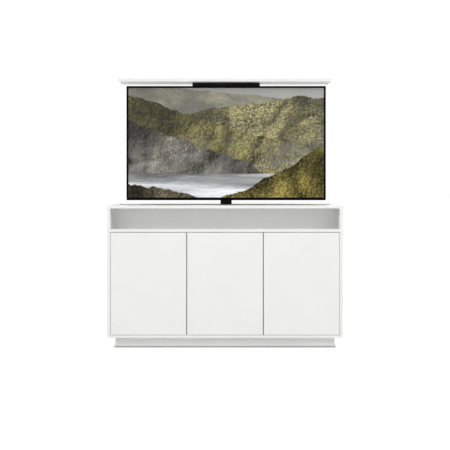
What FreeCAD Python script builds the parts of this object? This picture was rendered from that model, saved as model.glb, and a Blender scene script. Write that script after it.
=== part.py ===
import FreeCAD, Part
import math
import os

# Television lift cabinet, built standing and with its lift raised.
# Millimetres. X runs along the front, Y from the front to the back, Z up.
# The origin is on the floor, under the middle of the cabinet.

# ---- cabinet ----
cabinet_width = 1400.0
cabinet_depth = 450.0
cabinet_height = 842.0
side_board = 19.0
deck_board = 16.0            # top, niche floor and bottom
inner_board = 16.0           # partition, dividers, shelves and plinth
back_board = 8.0
back_recess = 2.0            # from the carcass's back edges to the back board
rabbet_depth = 8.0           # how far the back sits in the carcass
rabbet_clearance = 0.5
edge_rounding = 1.0
past = 1.0                   # how far a cutter runs past a face
tiny = 1e-6
niche_height = 124.0
cupboard_depth = 172.0       # from the front to the face of the partition
shelf_clearance = 5.0        # behind the heel of a swinging door
shelf_end_clearance = 1.0
pin_radius = 2.5
pin_depth = 7.0              # how far a shelf pin enters a board, and stands out of it
pin_inset = 35.0             # from a shelf's front and back edges

# ---- plinth ----
plinth_height = 58.0
plinth_inset = 45.0
plinth_back_inset = 20.0
glide_height = 3.0
glide_radius = 15.0
glide_margin = 4.0           # from the plinth's boards to a glide
middle_block = 48.0          # side of the square glue blocks halfway along
corner_block = 67.0          # leg of the three-cornered ones

# ---- doors ----
door_names = ("left", "middle", "right")
door_count = len(door_names)
door_board = 19.0
door_side_gap = 2.0
door_pair_gap = 5.0          # between two doors
door_bottom_gap = 2.0
door_top_gap = 3.0
heel_clearance = 0.6
pivot_radius = 4.0
pivot_running_gap = 0.05
pivot_length = 20.0          # in the door
bush_wall = 3.0
bush_depth = 12.0
pivot_washer_radius = 8.0
axial_gap = 0.3

# ---- push latches ----
latch_width = 18.0
latch_axis_drop = 15.0       # from the niche floor's underside to the plunger
latch_body_radius = 7.0
latch_rounding = 6.0
latch_length = 55.0
latch_inset = 42.0           # from the door's free edge
latch_standoff = 5.0         # plunger showing in front of its body
plunger_radius = 4.0
plunger_length = 45.0
plunger_chamfer = 0.8
spring_room = 4.0            # behind the plunger, in its body
strike_radius = 9.0
strike_thickness = 1.5

# ---- lid and slot ----
lid_end_margin = 48.0        # from the cabinet's side to the end of the lid
lid_depth = 230.0
lid_board = 16.0
lid_gap = 2.0
lid_undercut = 4.0           # how far the lid's edges lean in towards its underside
slot_setback = 190.0         # from the front to the slot
lid_edge = 0.6
slot_corner = 3.0

# ---- television ----
tv_width = 1230.0
tv_height = 705.0
tv_depth = 51.0
tv_setback = 256.0           # from the cabinet's front to the television's front
tv_rise = 26.0               # from the cabinet's top to the raised television
tv_lid_gap = 23.0
tv_corner = 4.0
bezel_side = 10.0
bezel_bottom = 13.0
bezel_depth = 10.0
bezel_lip = 2.0
bezel_wall = 2.0
screen_thickness = 6.0
cover_wall = 2.5
cover_thin_depth = 8.0
cover_taper = 10.0
bulge_width = 1000.0
bulge_height = 580.0
bulge_taper = 26.0
bulge_raise = 22.0           # from the television's bottom edge
vesa_pitch = 400.0
vesa_boss_radius = 9.0
vesa_boss_gap = 2.0          # from the screen to the end of a boss
vent_slots = 30
vent_slot_width = 3.0
vent_slot_height = 46.0
vent_slot_pitch = 12.0
vent_margin = 14.0           # from the top of the cover's raised middle
socket_bay_width = 190.0
socket_bay_height = 62.0
socket_bay_depth = 14.0
socket_bay_margin = 20.0
rib_root = 0.5               # how far a boss or rib runs into its wall
socket_count = 5
socket_width = 16.0
socket_height = 7.0
socket_pitch = 32.0
inlet_width = 27.0           # of a mains inlet
inlet_height = 20.0

# ---- television bracket ----
arm_width = 30.0
arm_depth = 10.0
arm_sheet = 2.0
arm_overhang = 50.0          # past the television's fixing holes
arm_end_height = 12.0        # of the slanted ends of the arm's sides
arm_end_depth = 3.0
hook_height = 10.0
hook_drop = 14.0
hook_sheet = 5.0
hook_slope = 4.0
mount_sheet = 3.0
mount_width = 470.0
mount_height = 200.0
mount_corner = 10.0
mount_slot_height = 9.0
mount_slot_length = 110.0
mount_slot_offset = 132.0    # from the middle of the plate to the middle of a slot
mount_slot_pitch = 56.0
mount_screw_inset = 24.0     # from the plate's top and bottom edges
spine_sheet = 4.0
spine_width = 98.0
spine_flange = 30.0
carrier_screw_pitch = 58.0   # across the carrier's web
cap_sheet = 6.0
cap_screw_margin = 5.0       # from the inner tube's bore to a cap screw
cheek_clearance = 8.0        # over the lowered middle tube
cheek_slant = 20.0
cheek_toe = 2.0
lid_bracket_width = 420.0
lid_bracket_sheet = 4.0
lid_bracket_drop = 118.0
lid_bracket_reach = 94.0
gusset_size = 60.0
gusset_offset = 84.0         # from the middle to an inner gusset
lid_screw_inset = 34.0       # from the ends of the lid bracket
lid_screw_pitch = 49.0
bracket_screw_drop = 71.0    # from the lid to the middle of the bracket's screws
bracket_screw_pitch = 44.0
screw_radius = 3.0
screw_head_radius = 5.5
screw_head_height = 3.5
screw_end = 3.0              # thread showing past the last sheet
head_block_height = 30.0
head_thread = 18.0           # thread in the head of the inner tube
vesa_thread = 12.0
lid_thread = 11.0

# ---- telescopic column ----
lift_x = 7.0                 # the lift's middle, to the right of the cabinet's
column_gap = 4.0             # between the spine and the outer tube
outer_tube_width = 86.0
outer_tube_depth = 76.0
tube_wall = 3.0
tube_corner = 4.0
stage_gap = 5.0              # between one tube's bore and the next tube
carrier_drop = 20.0          # from the lid's underside to the top of the carrier
stage_reveal = 30.0          # middle tube above the outer one, when lowered
head_reveal = 60.0           # inner tube above the middle one, when lowered
collar_depth = 60.0
collar_lip = 3.0
sliding_gap = 0.3
foot_flange = 12.0
foot_plug = 25.0
gearbox_height = 40.0
base_plate = 6.0
base_width = 200.0
base_corner = 8.0
base_front_reach = 75.0      # of the base plate, from the column's axis
base_back_reach = 55.0
base_hole_inset = 14.0
base_screw_length = 12.0
drive_gap = 6.0              # between the gearbox flange and the lowered nut
lower_spindle_radius = 7.0
upper_spindle_bore = 7.5
upper_spindle_radius = 12.0
journal_radius = 10.0
bearing_height = 8.0
bearing_wall = 6.0
lower_nut_wall = 9.0
upper_nut_wall = 4.5
nut_flange = 4.0
nut_flange_reach = 2.0
nut_thread_gap = 0.3
spindle_overrun = 15.0
spindle_chamfer = 1.5
motor_radius = 31.0
motor_length = 120.0
motor_step = 8.0
motor_neck_radius = 19.0
motor_end_slope = 6.0
motor_gap = 1.0              # over the base plate

# ---- bay fittings ----
control_box_width = 180.0
control_box_depth = 62.0
control_box_height = 36.0
control_box_offset = 250.0
control_box_gap = 2.0        # to the back board
control_box_rounding = 3.0
inlet_depth = 16.0
lead_socket_size = 9.0
lead_socket_pitch = 18.0
lead_socket_depth = 11.0
outlet_radius = 30.0
outlet_offset = 420.0
outlet_height = 150.0
grommet_wall = 2.5
grommet_flange = 5.0
grommet_flange_sheet = 2.0
grommet_chamfer = 1.2

# ---- places worked out from the sizes above ----
half_width = cabinet_width / 2
front = -cabinet_depth / 2
back = cabinet_depth / 2
back_face = back - back_recess
back_inside = back_face - back_board
bay_side = half_width - side_board
floor_top = plinth_height + deck_board
top_under = cabinet_height - deck_board
niche_floor = top_under - niche_height
niche_under = niche_floor - deck_board
partition_front = front + cupboard_depth
partition_back = partition_front + inner_board

door_width = (2 * (bay_side - door_side_gap) - (door_count - 1) * door_pair_gap) / door_count
door_bottom = floor_top + door_bottom_gap
door_top = niche_under - door_top_gap
door_back = front + door_board
door_middle = front + door_board / 2
heel_room = door_side_gap - heel_clearance
pivot_inset = ((door_board / 2) ** 2 - heel_room ** 2) / (2 * heel_room)
heel_radius = math.hypot(pivot_inset, door_board / 2)
divider_reach = pivot_inset + door_pair_gap / 2 - inner_board / 2
heel_back = math.sqrt(max(heel_radius ** 2 - divider_reach ** 2, 0.0))
divider_front = door_middle + heel_back + 2 * heel_clearance

lid_width = cabinet_width - 2 * lid_end_margin
slot_front = front + slot_setback
slot_back = slot_front + lid_depth + 2 * lid_gap
tv_front = front + tv_setback
tv_back = tv_front + tv_depth
tv_bottom = cabinet_height + tv_rise
tv_top = tv_bottom + tv_height
tv_middle = (tv_bottom + tv_top) / 2
lid_bottom = tv_top + tv_lid_gap
lid_top = lid_bottom + lid_board
lift_travel = lid_top - cabinet_height
stage_travel = lift_travel / 2

plate_front = tv_back + arm_depth
spine_front = plate_front + mount_sheet
spine_back = spine_front + spine_sheet
outer_front = spine_back + column_gap
column_y = outer_front + outer_tube_depth / 2
step = 2 * (tube_wall + stage_gap)
middle_tube_width = outer_tube_width - step
middle_tube_depth = outer_tube_depth - step
inner_tube_width = middle_tube_width - step
inner_tube_depth = middle_tube_depth - step

carrier_top = lid_bottom - carrier_drop
inner_tube_top = carrier_top - cap_sheet
outer_tube_top = inner_tube_top - lift_travel - head_reveal - stage_reveal
outer_tube_bottom = floor_top + gearbox_height
middle_foot = outer_tube_bottom + drive_gap + drive_gap + stage_travel
middle_tube_bottom = middle_foot + foot_flange
middle_tube_top = outer_tube_top + stage_reveal + stage_travel
upper_seat = middle_tube_bottom + foot_plug
inner_foot = upper_seat + bearing_height + nut_flange + drive_gap + stage_travel
inner_tube_bottom = inner_foot + foot_flange

X = FreeCAD.Vector(1, 0, 0)
Y = FreeCAD.Vector(0, 1, 0)
Z = FreeCAD.Vector(0, 0, 1)


def save(name, *solids):
    """Write one sub-part, which may be several separate solids."""
    shape = solids[0] if len(solids) == 1 else Part.makeCompound(list(solids))
    shape.exportStep(f"parts/{name}.step")
    print(f"{name}: {len(shape.Solids)} solid(s), {shape.Volume / 1000:.0f} cm3")


def block(x0, x1, y0, y1, z0, z1):
    return Part.makeBox(x1 - x0, y1 - y0, z1 - z0, FreeCAD.Vector(x0, y0, z0))


def rod(radius, start, direction, length):
    return Part.makeCylinder(radius, length, FreeCAD.Vector(*start), direction)


def prism(points, direction):
    """A straight solid on a closed outline of corner points."""
    corners = [FreeCAD.Vector(*point) for point in points]
    outline = Part.makePolygon(corners + corners[:1])
    return Part.Face(outline).extrude(direction)


def frustum(y0, size0, y1, size1, middle_x, middle_z):
    """A tapered block between two upright rectangles, given as (width, height)."""
    wires = []
    for y, (wide, high) in ((y0, size0), (y1, size1)):
        corners = [
            FreeCAD.Vector(middle_x + sx * wide / 2, y, middle_z + sz * high / 2)
            for sx, sz in ((-1, -1), (1, -1), (1, 1), (-1, 1))
        ]
        wires.append(Part.makePolygon(corners + corners[:1]))
    return Part.makeLoft(wires, True, True)


def round_edges(shape, radius, chosen):
    """Round the edges whose end points all pass the test."""
    edges = [e for e in shape.Edges if all(chosen(v.Point) for v in e.Vertexes)]
    return shape.makeFillet(radius, edges)


def upright_edges(shape):
    return [e for e in shape.Edges if e.BoundBox.ZLength > tiny and e.BoundBox.XLength < tiny
            and e.BoundBox.YLength < tiny]


def lift_block(width, y0, y1, z0, z1):
    """A block centred on the lift's middle."""
    return block(lift_x - width / 2, lift_x + width / 2, y0, y1, z0, z1)


def on_axis(z):
    """A point on the column's axis."""
    return lift_x, column_y, z


def rounded_bar(width, depth, corner, z0, z1):
    """An upright bar of rounded rectangular section on the column's axis."""
    bar = lift_block(width, column_y - depth / 2, column_y + depth / 2, z0, z1)
    return bar.makeFillet(corner, upright_edges(bar))


def tube(width, depth, z0, z1):
    """One tube of the telescopic column."""
    bore = rounded_bar(width - 2 * tube_wall, depth - 2 * tube_wall, tube_corner - tube_wall, z0, z1)
    return rounded_bar(width, depth, tube_corner, z0, z1).cut(bore)


def screw(head_at, direction, length):
    """A hexagon screw: the head's underside is at head_at, the shank runs along direction."""
    angles = [math.radians(60 * i) for i in range(6)]
    corners = [(screw_head_radius * math.cos(a), screw_head_radius * math.sin(a), -screw_head_height)
               for a in angles]
    hexagon = prism(corners, Z * screw_head_height)
    body = hexagon.fuse(Part.makeCylinder(screw_radius, length)).removeSplitter()
    body.Placement = FreeCAD.Placement(FreeCAD.Vector(*head_at), FreeCAD.Rotation(Z, direction))
    return body


def screw_hole(head_at, direction, length):
    return rod(screw_radius, head_at, direction, length)


# ---- carcass ----

def door_edges(index):
    """Left and right edges of one door, counted from the left."""
    left = -bay_side + door_side_gap + index * (door_width + door_pair_gap)
    return left, left + door_width


def hinge_side(index):
    """-1 where a door is hung on its left edge, 1 on its right: the last door opens the other way."""
    return 1 if index == door_count - 1 else -1


def pivot_x(index):
    left, right = door_edges(index)
    return left + pivot_inset if hinge_side(index) < 0 else right - pivot_inset


def latch_x(index):
    left, right = door_edges(index)
    return right - latch_inset if hinge_side(index) < 0 else left + latch_inset


def divider_x(index):
    """The middle of the divider on the right of a door."""
    return door_edges(index)[1] + door_pair_gap / 2


def cupboard_sides(index):
    """The inner faces on the left and right of the cupboard behind a door."""
    left = -bay_side if index == 0 else divider_x(index - 1) + inner_board / 2
    right = bay_side if index == door_count - 1 else divider_x(index) - inner_board / 2
    return left, right


shelf_bottom = (floor_top + niche_under - inner_board) / 2
shelf_front = door_middle + heel_radius + shelf_clearance


def shelf_pin_places():
    """(x of the board's face, y, direction into the cupboard) of every shelf pin."""
    for index in range(door_count):
        left, right = cupboard_sides(index)
        for y in (shelf_front + pin_inset, partition_front - pin_inset):
            yield left, y, 1
            yield right, y, -1


def shelf_pin_rod(x, y, inward, start, length):
    """A length of a pin's cylinder, from start before the board's face to length past it."""
    return rod(pin_radius, (x + inward * start, y, shelf_bottom - pin_radius), X * inward, length)


def shelf_pin_holes():
    return [shelf_pin_rod(x, y, inward, -pin_depth, pin_depth) for x, y, inward in shelf_pin_places()]


def back_rabbet():
    """The step round the back of the carcass that the back board drops into."""
    reach = rabbet_depth + rabbet_clearance
    return block(-bay_side - reach, bay_side + reach, back_inside, back + past,
                 floor_top - reach, top_under + reach)


def make_side_panel(side):
    """A side with mitred ends, from the outer corner to the inner corner."""
    outer = side * half_width
    inner = side * bay_side
    outline = [(outer, front, plinth_height), (outer, front, cabinet_height),
               (inner, front, top_under), (inner, front, floor_top)]
    panel = prism(outline, Y * cabinet_depth)
    panel = round_edges(panel, edge_rounding, lambda p: p.y == front and p.x == outer)
    return panel.cut(shelf_pin_holes() + [back_rabbet()])


def make_mitred_deck(outer_z, inner_z):
    """The top or the bottom board, mitred to the sides at both ends."""
    outline = [(-half_width, front, outer_z), (half_width, front, outer_z),
               (bay_side, front, inner_z), (-bay_side, front, inner_z)]
    deck = prism(outline, Y * cabinet_depth)
    deck = round_edges(deck, edge_rounding, lambda p: p.y == front and p.z == outer_z)
    return deck.cut(back_rabbet())


def make_top_panel():
    half_slot = lid_width / 2 + lid_gap
    slot = block(-half_slot, half_slot, slot_front, slot_back,
                 top_under - past, cabinet_height + past)
    slot = slot.makeFillet(slot_corner, upright_edges(slot))
    return make_mitred_deck(cabinet_height, top_under).cut(slot)


def pivot_bush_places():
    """(x, z of the open end, direction of the hole) of each pivot bush."""
    for index in range(door_count):
        yield pivot_x(index), floor_top, -1
        yield pivot_x(index), niche_under, 1


def pivot_bush_rod(x, z, way, radius):
    return rod(radius, (x, door_middle, z), Z * way, bush_depth)


def pivot_bush_holes():
    radius = pivot_radius + pivot_running_gap + bush_wall
    return [pivot_bush_rod(x, z, way, radius) for x, z, way in pivot_bush_places()]


def base_screw_places():
    for side in (-1, 1):
        x = lift_x + side * (base_width / 2 - base_hole_inset)
        yield x, column_y - base_front_reach + base_hole_inset
        yield x, column_y + base_back_reach - base_hole_inset


def make_bottom_panel():
    screws = [screw_hole((x, y, floor_top), -Z, base_screw_length) for x, y in base_screw_places()]
    return make_mitred_deck(plinth_height, floor_top).cut(pivot_bush_holes() + screws)


def make_niche_shelf():
    shelf = block(-bay_side, bay_side, front, partition_front, niche_under, niche_floor)
    shelf = round_edges(shelf, edge_rounding, lambda p: p.y == front)
    return shelf.cut(pivot_bush_holes())


def make_partition():
    return block(-bay_side, bay_side, partition_front, partition_back, floor_top, top_under)


def outlet_places():
    return [(side * outlet_offset, outlet_height) for side in (-1, 1)]


def make_back_panel():
    panel = block(-bay_side - rabbet_depth, bay_side + rabbet_depth, back_inside, back_face,
                  floor_top - rabbet_depth, top_under + rabbet_depth)
    outlets = [rod(outlet_radius, (x, back_inside, z), Y, back_board) for x, z in outlet_places()]
    return panel.cut(outlets)


def make_grommet(x, z):
    """A cable grommet: a sleeve through the back board with a flange outside."""
    sleeve = rod(outlet_radius, (x, back_face, z), -Y, back_board)
    flange = rod(outlet_radius + grommet_flange, (x, back_face, z), Y, grommet_flange_sheet)
    rim = [e for e in flange.Edges if e.BoundBox.YMin > back_face + grommet_flange_sheet / 2]
    flange = flange.makeChamfer(grommet_chamfer, rim)
    bore = rod(outlet_radius - grommet_wall, (x, back_inside, z), Y, back_board + grommet_flange_sheet)
    return sleeve.fuse(flange).cut(bore).removeSplitter()


def make_divider(index):
    x = divider_x(index)
    divider = block(x - inner_board / 2, x + inner_board / 2, divider_front, partition_front,
                    floor_top, niche_under)
    return divider.cut(shelf_pin_holes())


def make_shelf(index):
    left, right = cupboard_sides(index)
    shelf = block(left + shelf_end_clearance, right - shelf_end_clearance, shelf_front,
                  partition_front, shelf_bottom, shelf_bottom + inner_board)
    return round_edges(shelf, edge_rounding, lambda p: p.y == shelf_front)


def make_carcass():
    save("side_panel_left", make_side_panel(-1))
    save("side_panel_right", make_side_panel(1))
    save("top_panel", make_top_panel())
    save("bottom_panel", make_bottom_panel())
    save("niche_shelf", make_niche_shelf())
    save("partition_panel", make_partition())
    save("back_panel", make_back_panel())
    save("cable_grommets", *[make_grommet(x, z) for x, z in outlet_places()])
    for index in range(door_count - 1):
        save(f"divider_{('left', 'right')[index]}", make_divider(index))
    for index in range(door_count):
        save(f"shelf_{door_names[index]}", make_shelf(index))
    save("shelf_pins", *[shelf_pin_rod(x, y, inward, -pin_depth, 2 * pin_depth)
                         for x, y, inward in shelf_pin_places()])


# ---- plinth ----

plinth_half = half_width - plinth_inset
plinth_front = front + plinth_inset
plinth_back = back - plinth_back_inset


def make_plinth_front():
    board = block(-plinth_half, plinth_half, plinth_front, plinth_front + inner_board,
                  glide_height, plinth_height)
    return round_edges(board, edge_rounding, lambda p: p.y == plinth_front and abs(p.x) == plinth_half)


def make_plinth_back():
    return block(-plinth_half, plinth_half, plinth_back - inner_board, plinth_back,
                 glide_height, plinth_height)


def make_plinth_side(side):
    x0, x1 = sorted((side * plinth_half, side * (plinth_half - inner_board)))
    return block(x0, x1, plinth_front + inner_board, plinth_back - inner_board,
                 glide_height, plinth_height)


def plinth_corners():
    """(x, y, side, way) of the plinth's inner corners, and of two places along its length."""
    for side in (-1, 0, 1):
        x = side * (plinth_half - inner_board)
        yield x, plinth_front + inner_board, side, 1
        yield x, plinth_back - inner_board, side, -1


def make_corner_block(x, y, side, way):
    """A three-cornered glue block, or a square one halfway along."""
    if side == 0:
        half = middle_block / 2
        inner_y = y + way * middle_block
        outline = [(-half, y, glide_height), (half, y, glide_height),
                   (half, inner_y, glide_height), (-half, inner_y, glide_height)]
    else:
        outline = [(x, y, glide_height), (x - side * corner_block, y, glide_height),
                   (x, y + way * corner_block, glide_height)]
    return prism(outline, Z * (plinth_height - glide_height))


def glide_places():
    inset = glide_radius + glide_margin
    for x, y, side, way in plinth_corners():
        yield x - side * inset, y + way * inset


def make_plinth():
    save("plinth_front", make_plinth_front())
    save("plinth_back", make_plinth_back())
    save("plinth_side_left", make_plinth_side(-1))
    save("plinth_side_right", make_plinth_side(1))
    save("plinth_blocks", *[make_corner_block(*corner) for corner in plinth_corners()])
    save("plinth_glides", *[rod(glide_radius, (x, y, 0), Z, glide_height) for x, y in glide_places()])


# ---- doors ----

plunger_tip = door_back + strike_thickness + axial_gap
latch_front = plunger_tip + latch_standoff
latch_z = niche_under - latch_axis_drop


def make_door(index):
    left, right = door_edges(index)
    door = block(left, right, front, door_back, door_bottom, door_top)
    door = round_edges(door, edge_rounding, lambda p: p.y == front)
    x = pivot_x(index)
    lower = rod(pivot_radius, (x, door_middle, door_bottom), Z, pivot_length)
    upper = rod(pivot_radius, (x, door_middle, door_top), -Z, pivot_length)
    return door.cut([lower, upper])


def make_pivots(index):
    """The two pivot pins of a door. The lower one has a washer that carries the door."""
    x = pivot_x(index)
    low_end = floor_top - bush_depth + axial_gap
    lower = rod(pivot_radius, (x, door_middle, low_end), Z, door_bottom + pivot_length - low_end)
    washer = rod(pivot_washer_radius, (x, door_middle, floor_top + axial_gap), Z, door_bottom_gap - axial_gap)
    high_end = niche_under + bush_depth - axial_gap
    upper = rod(pivot_radius, (x, door_middle, high_end), -Z, high_end - door_top + pivot_length)
    return lower.fuse(washer).removeSplitter(), upper


def make_pivot_bush(x, z, way):
    outer = pivot_bush_rod(x, z, way, pivot_radius + pivot_running_gap + bush_wall)
    return outer.cut(pivot_bush_rod(x, z, way, pivot_radius + pivot_running_gap))


def make_latch_body(index):
    """The latch's housing, screwed up under the niche floor, with the plunger's bore."""
    x = latch_x(index)
    body = block(x - latch_width / 2, x + latch_width / 2, latch_front, latch_front + latch_length,
                 latch_z - latch_body_radius, niche_under)
    body = round_edges(body, latch_rounding, lambda p: p.z < latch_z)
    bore_length = plunger_length - latch_standoff + spring_room
    return body.cut(rod(plunger_radius + pivot_running_gap, (x, latch_front, latch_z), Y, bore_length))


def make_plunger(index):
    plunger = rod(plunger_radius, (latch_x(index), plunger_tip, latch_z), Y, plunger_length)
    tip = [e for e in plunger.Edges if abs(e.BoundBox.YMax - plunger_tip) < tiny]
    return plunger.makeChamfer(plunger_chamfer, tip)


def make_strike(index):
    """The steel disc on the back of a door that the magnet in the plunger holds."""
    return rod(strike_radius, (latch_x(index), door_back, latch_z), Y, strike_thickness)


def make_doors():
    for index in range(door_count):
        name = door_names[index]
        save(f"door_{name}", make_door(index))
        save(f"door_fittings_{name}", *make_pivots(index), make_strike(index))
        save(f"latch_plunger_{name}", make_plunger(index))
    save("pivot_bushes", *[make_pivot_bush(x, z, way) for x, z, way in pivot_bush_places()])
    save("latch_bodies", *[make_latch_body(index) for index in range(door_count)])


# ---- telescopic column ----

def make_collar(tube_width, tube_depth, z_top):
    """The plastic guide in a tube's mouth, with a lip on the tube's rim."""
    bore_width = tube_width - 2 * tube_wall
    bore_depth = tube_depth - 2 * tube_wall
    plug = rounded_bar(bore_width, bore_depth, tube_corner - tube_wall, z_top - collar_depth, z_top)
    lip = rounded_bar(tube_width, tube_depth, tube_corner, z_top, z_top + collar_lip)
    next_width = bore_width - 2 * stage_gap + 2 * sliding_gap
    next_depth = bore_depth - 2 * stage_gap + 2 * sliding_gap
    passage = rounded_bar(next_width, next_depth, tube_corner, z_top - collar_depth, z_top + collar_lip)
    return plug.fuse(lip).cut(passage).removeSplitter()


def make_foot(tube_width, tube_depth, z, nut_radius):
    """The plastic foot of a moving tube: a sliding flange, and a plug that holds the nut."""
    flange = rounded_bar(tube_width + 2 * stage_gap - 2 * sliding_gap,
                         tube_depth + 2 * stage_gap - 2 * sliding_gap,
                         tube_corner - tube_wall, z, z + foot_flange)
    plug = rounded_bar(tube_width - 2 * tube_wall, tube_depth - 2 * tube_wall,
                       tube_corner - tube_wall, z + foot_flange, z + foot_flange + foot_plug)
    bore = rod(nut_radius, on_axis(z), Z, foot_flange + foot_plug)
    return flange.fuse(plug).cut(bore).removeSplitter()


def make_nut(z, spindle_radius, outer_radius):
    """A flanged nut, pushed into a foot from below."""
    sleeve = rod(outer_radius, on_axis(z), Z, foot_flange + foot_plug)
    flange = rod(outer_radius + nut_flange_reach, on_axis(z - nut_flange), Z, nut_flange)
    bore = rod(spindle_radius + nut_thread_gap, on_axis(z - nut_flange), Z,
               nut_flange + foot_flange + foot_plug)
    return sleeve.fuse(flange).cut(bore).removeSplitter()


lower_nut_radius = lower_spindle_radius + lower_nut_wall
upper_nut_radius = upper_spindle_radius + upper_nut_wall
gearbox_top = outer_tube_bottom
lower_bearing_radius = lower_spindle_radius + bearing_wall
lower_spindle_top = upper_seat + spindle_overrun
upper_spindle_top = inner_foot + foot_flange + foot_plug + spindle_overrun


def make_lower_spindle():
    """The screw that the motor turns. It lifts the middle tube and drives the upper spindle."""
    start = gearbox_top - bearing_height
    spindle = rod(lower_spindle_radius, on_axis(start), Z, lower_spindle_top - start)
    top = [e for e in spindle.Edges if abs(e.BoundBox.ZMin - lower_spindle_top) < tiny]
    return spindle.makeChamfer(spindle_chamfer, top)


def make_upper_spindle():
    """The hollow screw on the middle tube's foot. It slides over the lower one and lifts the inner tube."""
    start = upper_seat + axial_gap
    journal = rod(journal_radius, on_axis(start), Z, bearing_height)
    screw_start = start + bearing_height
    body = rod(upper_spindle_radius, on_axis(screw_start), Z, upper_spindle_top - screw_start)
    bore = rod(upper_spindle_bore, on_axis(start), Z, upper_spindle_top - start)
    return journal.fuse(body).cut(bore).removeSplitter()


def make_bearing(z, bore_radius, outer_radius):
    ring = rod(outer_radius, on_axis(z), Z, bearing_height)
    return ring.cut(rod(bore_radius + pivot_running_gap, on_axis(z), Z, bearing_height))


def make_gearbox():
    """The cast base of the column: a flanged block with the seat of the spindle's bearing."""
    plate = lift_block(base_width, column_y - base_front_reach, column_y + base_back_reach,
                       floor_top, floor_top + base_plate)
    plate = plate.makeFillet(base_corner, upright_edges(plate))
    housing = rounded_bar(outer_tube_width, outer_tube_depth, tube_corner, floor_top, gearbox_top)
    seat = rod(lower_bearing_radius, on_axis(gearbox_top), -Z, bearing_height + axial_gap)
    holes = [screw_hole((x, y, floor_top + base_plate), -Z, base_plate) for x, y in base_screw_places()]
    return plate.fuse(housing).cut([seat] + holes).removeSplitter()


def make_motor():
    """The motor, flanged to the side of the gearbox, as one turned form along X."""
    start = lift_x + outer_tube_width / 2
    profile = [(0, 0), (motor_neck_radius, 0), (motor_neck_radius, motor_step),
               (motor_radius, motor_step), (motor_radius, motor_length - motor_end_slope),
               (motor_radius - motor_end_slope, motor_length), (0, motor_length)]
    corners = [FreeCAD.Vector(start + along, 0, radius) for radius, along in profile]
    outline = Part.makePolygon(corners + corners[:1])
    motor = Part.Face(outline).revolve(FreeCAD.Vector(0, 0, 0), X, 360)
    motor.translate(FreeCAD.Vector(0, column_y, floor_top + base_plate + motor_gap + motor_radius))
    return motor


def make_column():
    save("lift_gearbox", make_gearbox())
    save("lift_motor", make_motor())
    save("lift_base_screws", *[screw((x, y, floor_top + base_plate), -Z, base_plate + base_screw_length)
                               for x, y in base_screw_places()])
    save("outer_tube", tube(outer_tube_width, outer_tube_depth, outer_tube_bottom, outer_tube_top))
    save("outer_guide_collar", make_collar(outer_tube_width, outer_tube_depth, outer_tube_top))
    save("lower_spindle_bearing",
         make_bearing(gearbox_top - bearing_height, lower_spindle_radius, lower_bearing_radius))
    save("lower_spindle", make_lower_spindle())
    save("middle_tube", tube(middle_tube_width, middle_tube_depth, middle_tube_bottom, middle_tube_top))
    save("middle_guide_collar", make_collar(middle_tube_width, middle_tube_depth, middle_tube_top))
    save("middle_tube_foot",
         make_foot(middle_tube_width, middle_tube_depth, middle_foot, lower_nut_radius))
    save("lower_nut", make_nut(middle_foot, lower_spindle_radius, lower_nut_radius))
    save("upper_spindle_bearing", make_bearing(upper_seat, journal_radius, journal_radius + bearing_wall))
    save("upper_spindle", make_upper_spindle())
    save("inner_tube", tube(inner_tube_width, inner_tube_depth, inner_tube_bottom, inner_tube_top))
    save("inner_tube_foot", make_foot(inner_tube_width, inner_tube_depth, inner_foot, upper_nut_radius))
    save("upper_nut", make_nut(inner_foot, upper_spindle_radius, upper_nut_radius))


# ---- television bracket ----

mount_top = tv_middle + mount_height / 2
mount_bottom = tv_middle - mount_height / 2
vesa_places = [(lift_x + sx * vesa_pitch / 2, tv_middle + sz * vesa_pitch / 2)
               for sx in (-1, 1) for sz in (-1, 1)]


def cap_screw_places():
    """Screws down into the inner tube's head."""
    inset = tube_wall + cap_screw_margin + screw_radius
    reach_x = inner_tube_width / 2 - inset
    reach_y = inner_tube_depth / 2 - inset
    for sx in (-1, 1):
        for sy in (-1, 1):
            yield lift_x + sx * reach_x, column_y + sy * reach_y


def make_tube_head():
    """The block in the inner tube's mouth that the carrier is screwed to."""
    head = rounded_bar(inner_tube_width - 2 * tube_wall, inner_tube_depth - 2 * tube_wall,
                       tube_corner - tube_wall, inner_tube_top - head_block_height, inner_tube_top)
    return head.cut([screw_hole((x, y, inner_tube_top), -Z, head_thread) for x, y in cap_screw_places()])


def make_carrier():
    """The folded carrier: a channel down the front of the column, hung from a cap on the inner tube."""
    cap_back = column_y + inner_tube_depth / 2
    web = lift_block(spine_width, spine_front, spine_back, mount_bottom, carrier_top)
    cap = lift_block(spine_width, spine_front, cap_back, inner_tube_top, carrier_top)
    body = web.fuse(cap)
    cheek_bottom = inner_tube_top - head_reveal + cheek_clearance
    for side in (-1, 1):
        edge = side * spine_width / 2
        x0, x1 = sorted((lift_x + edge, lift_x + edge - side * spine_sheet))
        flange_back = spine_front + spine_flange
        cheek = prism([(x0, spine_front, mount_bottom), (x0, spine_front, carrier_top),
                       (x0, cap_back, carrier_top), (x0, cap_back, cheek_bottom + cheek_slant),
                       (x0, flange_back, cheek_bottom), (x0, flange_back, mount_bottom + cheek_slant),
                       (x0, spine_back + cheek_toe, mount_bottom)], X * (x1 - x0))
        body = body.fuse(cheek)
    holes = [screw_hole((x, y, carrier_top), -Z, cap_sheet) for x, y in cap_screw_places()]
    holes += [screw_hole((x, plate_front, z), Y, mount_sheet + spine_sheet)
              for x, z in plate_screw_places()]
    holes += [screw_hole((x, spine_front, z), Y, spine_sheet) for x, z in bracket_screw_places()]
    return body.cut(holes).removeSplitter()


def plate_screw_places():
    """Screws that hold the mounting plate to the carrier."""
    for sx in (-1, 1):
        for sz in (-1, 1):
            yield lift_x + sx * carrier_screw_pitch / 2, tv_middle + sz * (mount_height / 2 - mount_screw_inset)


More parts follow.
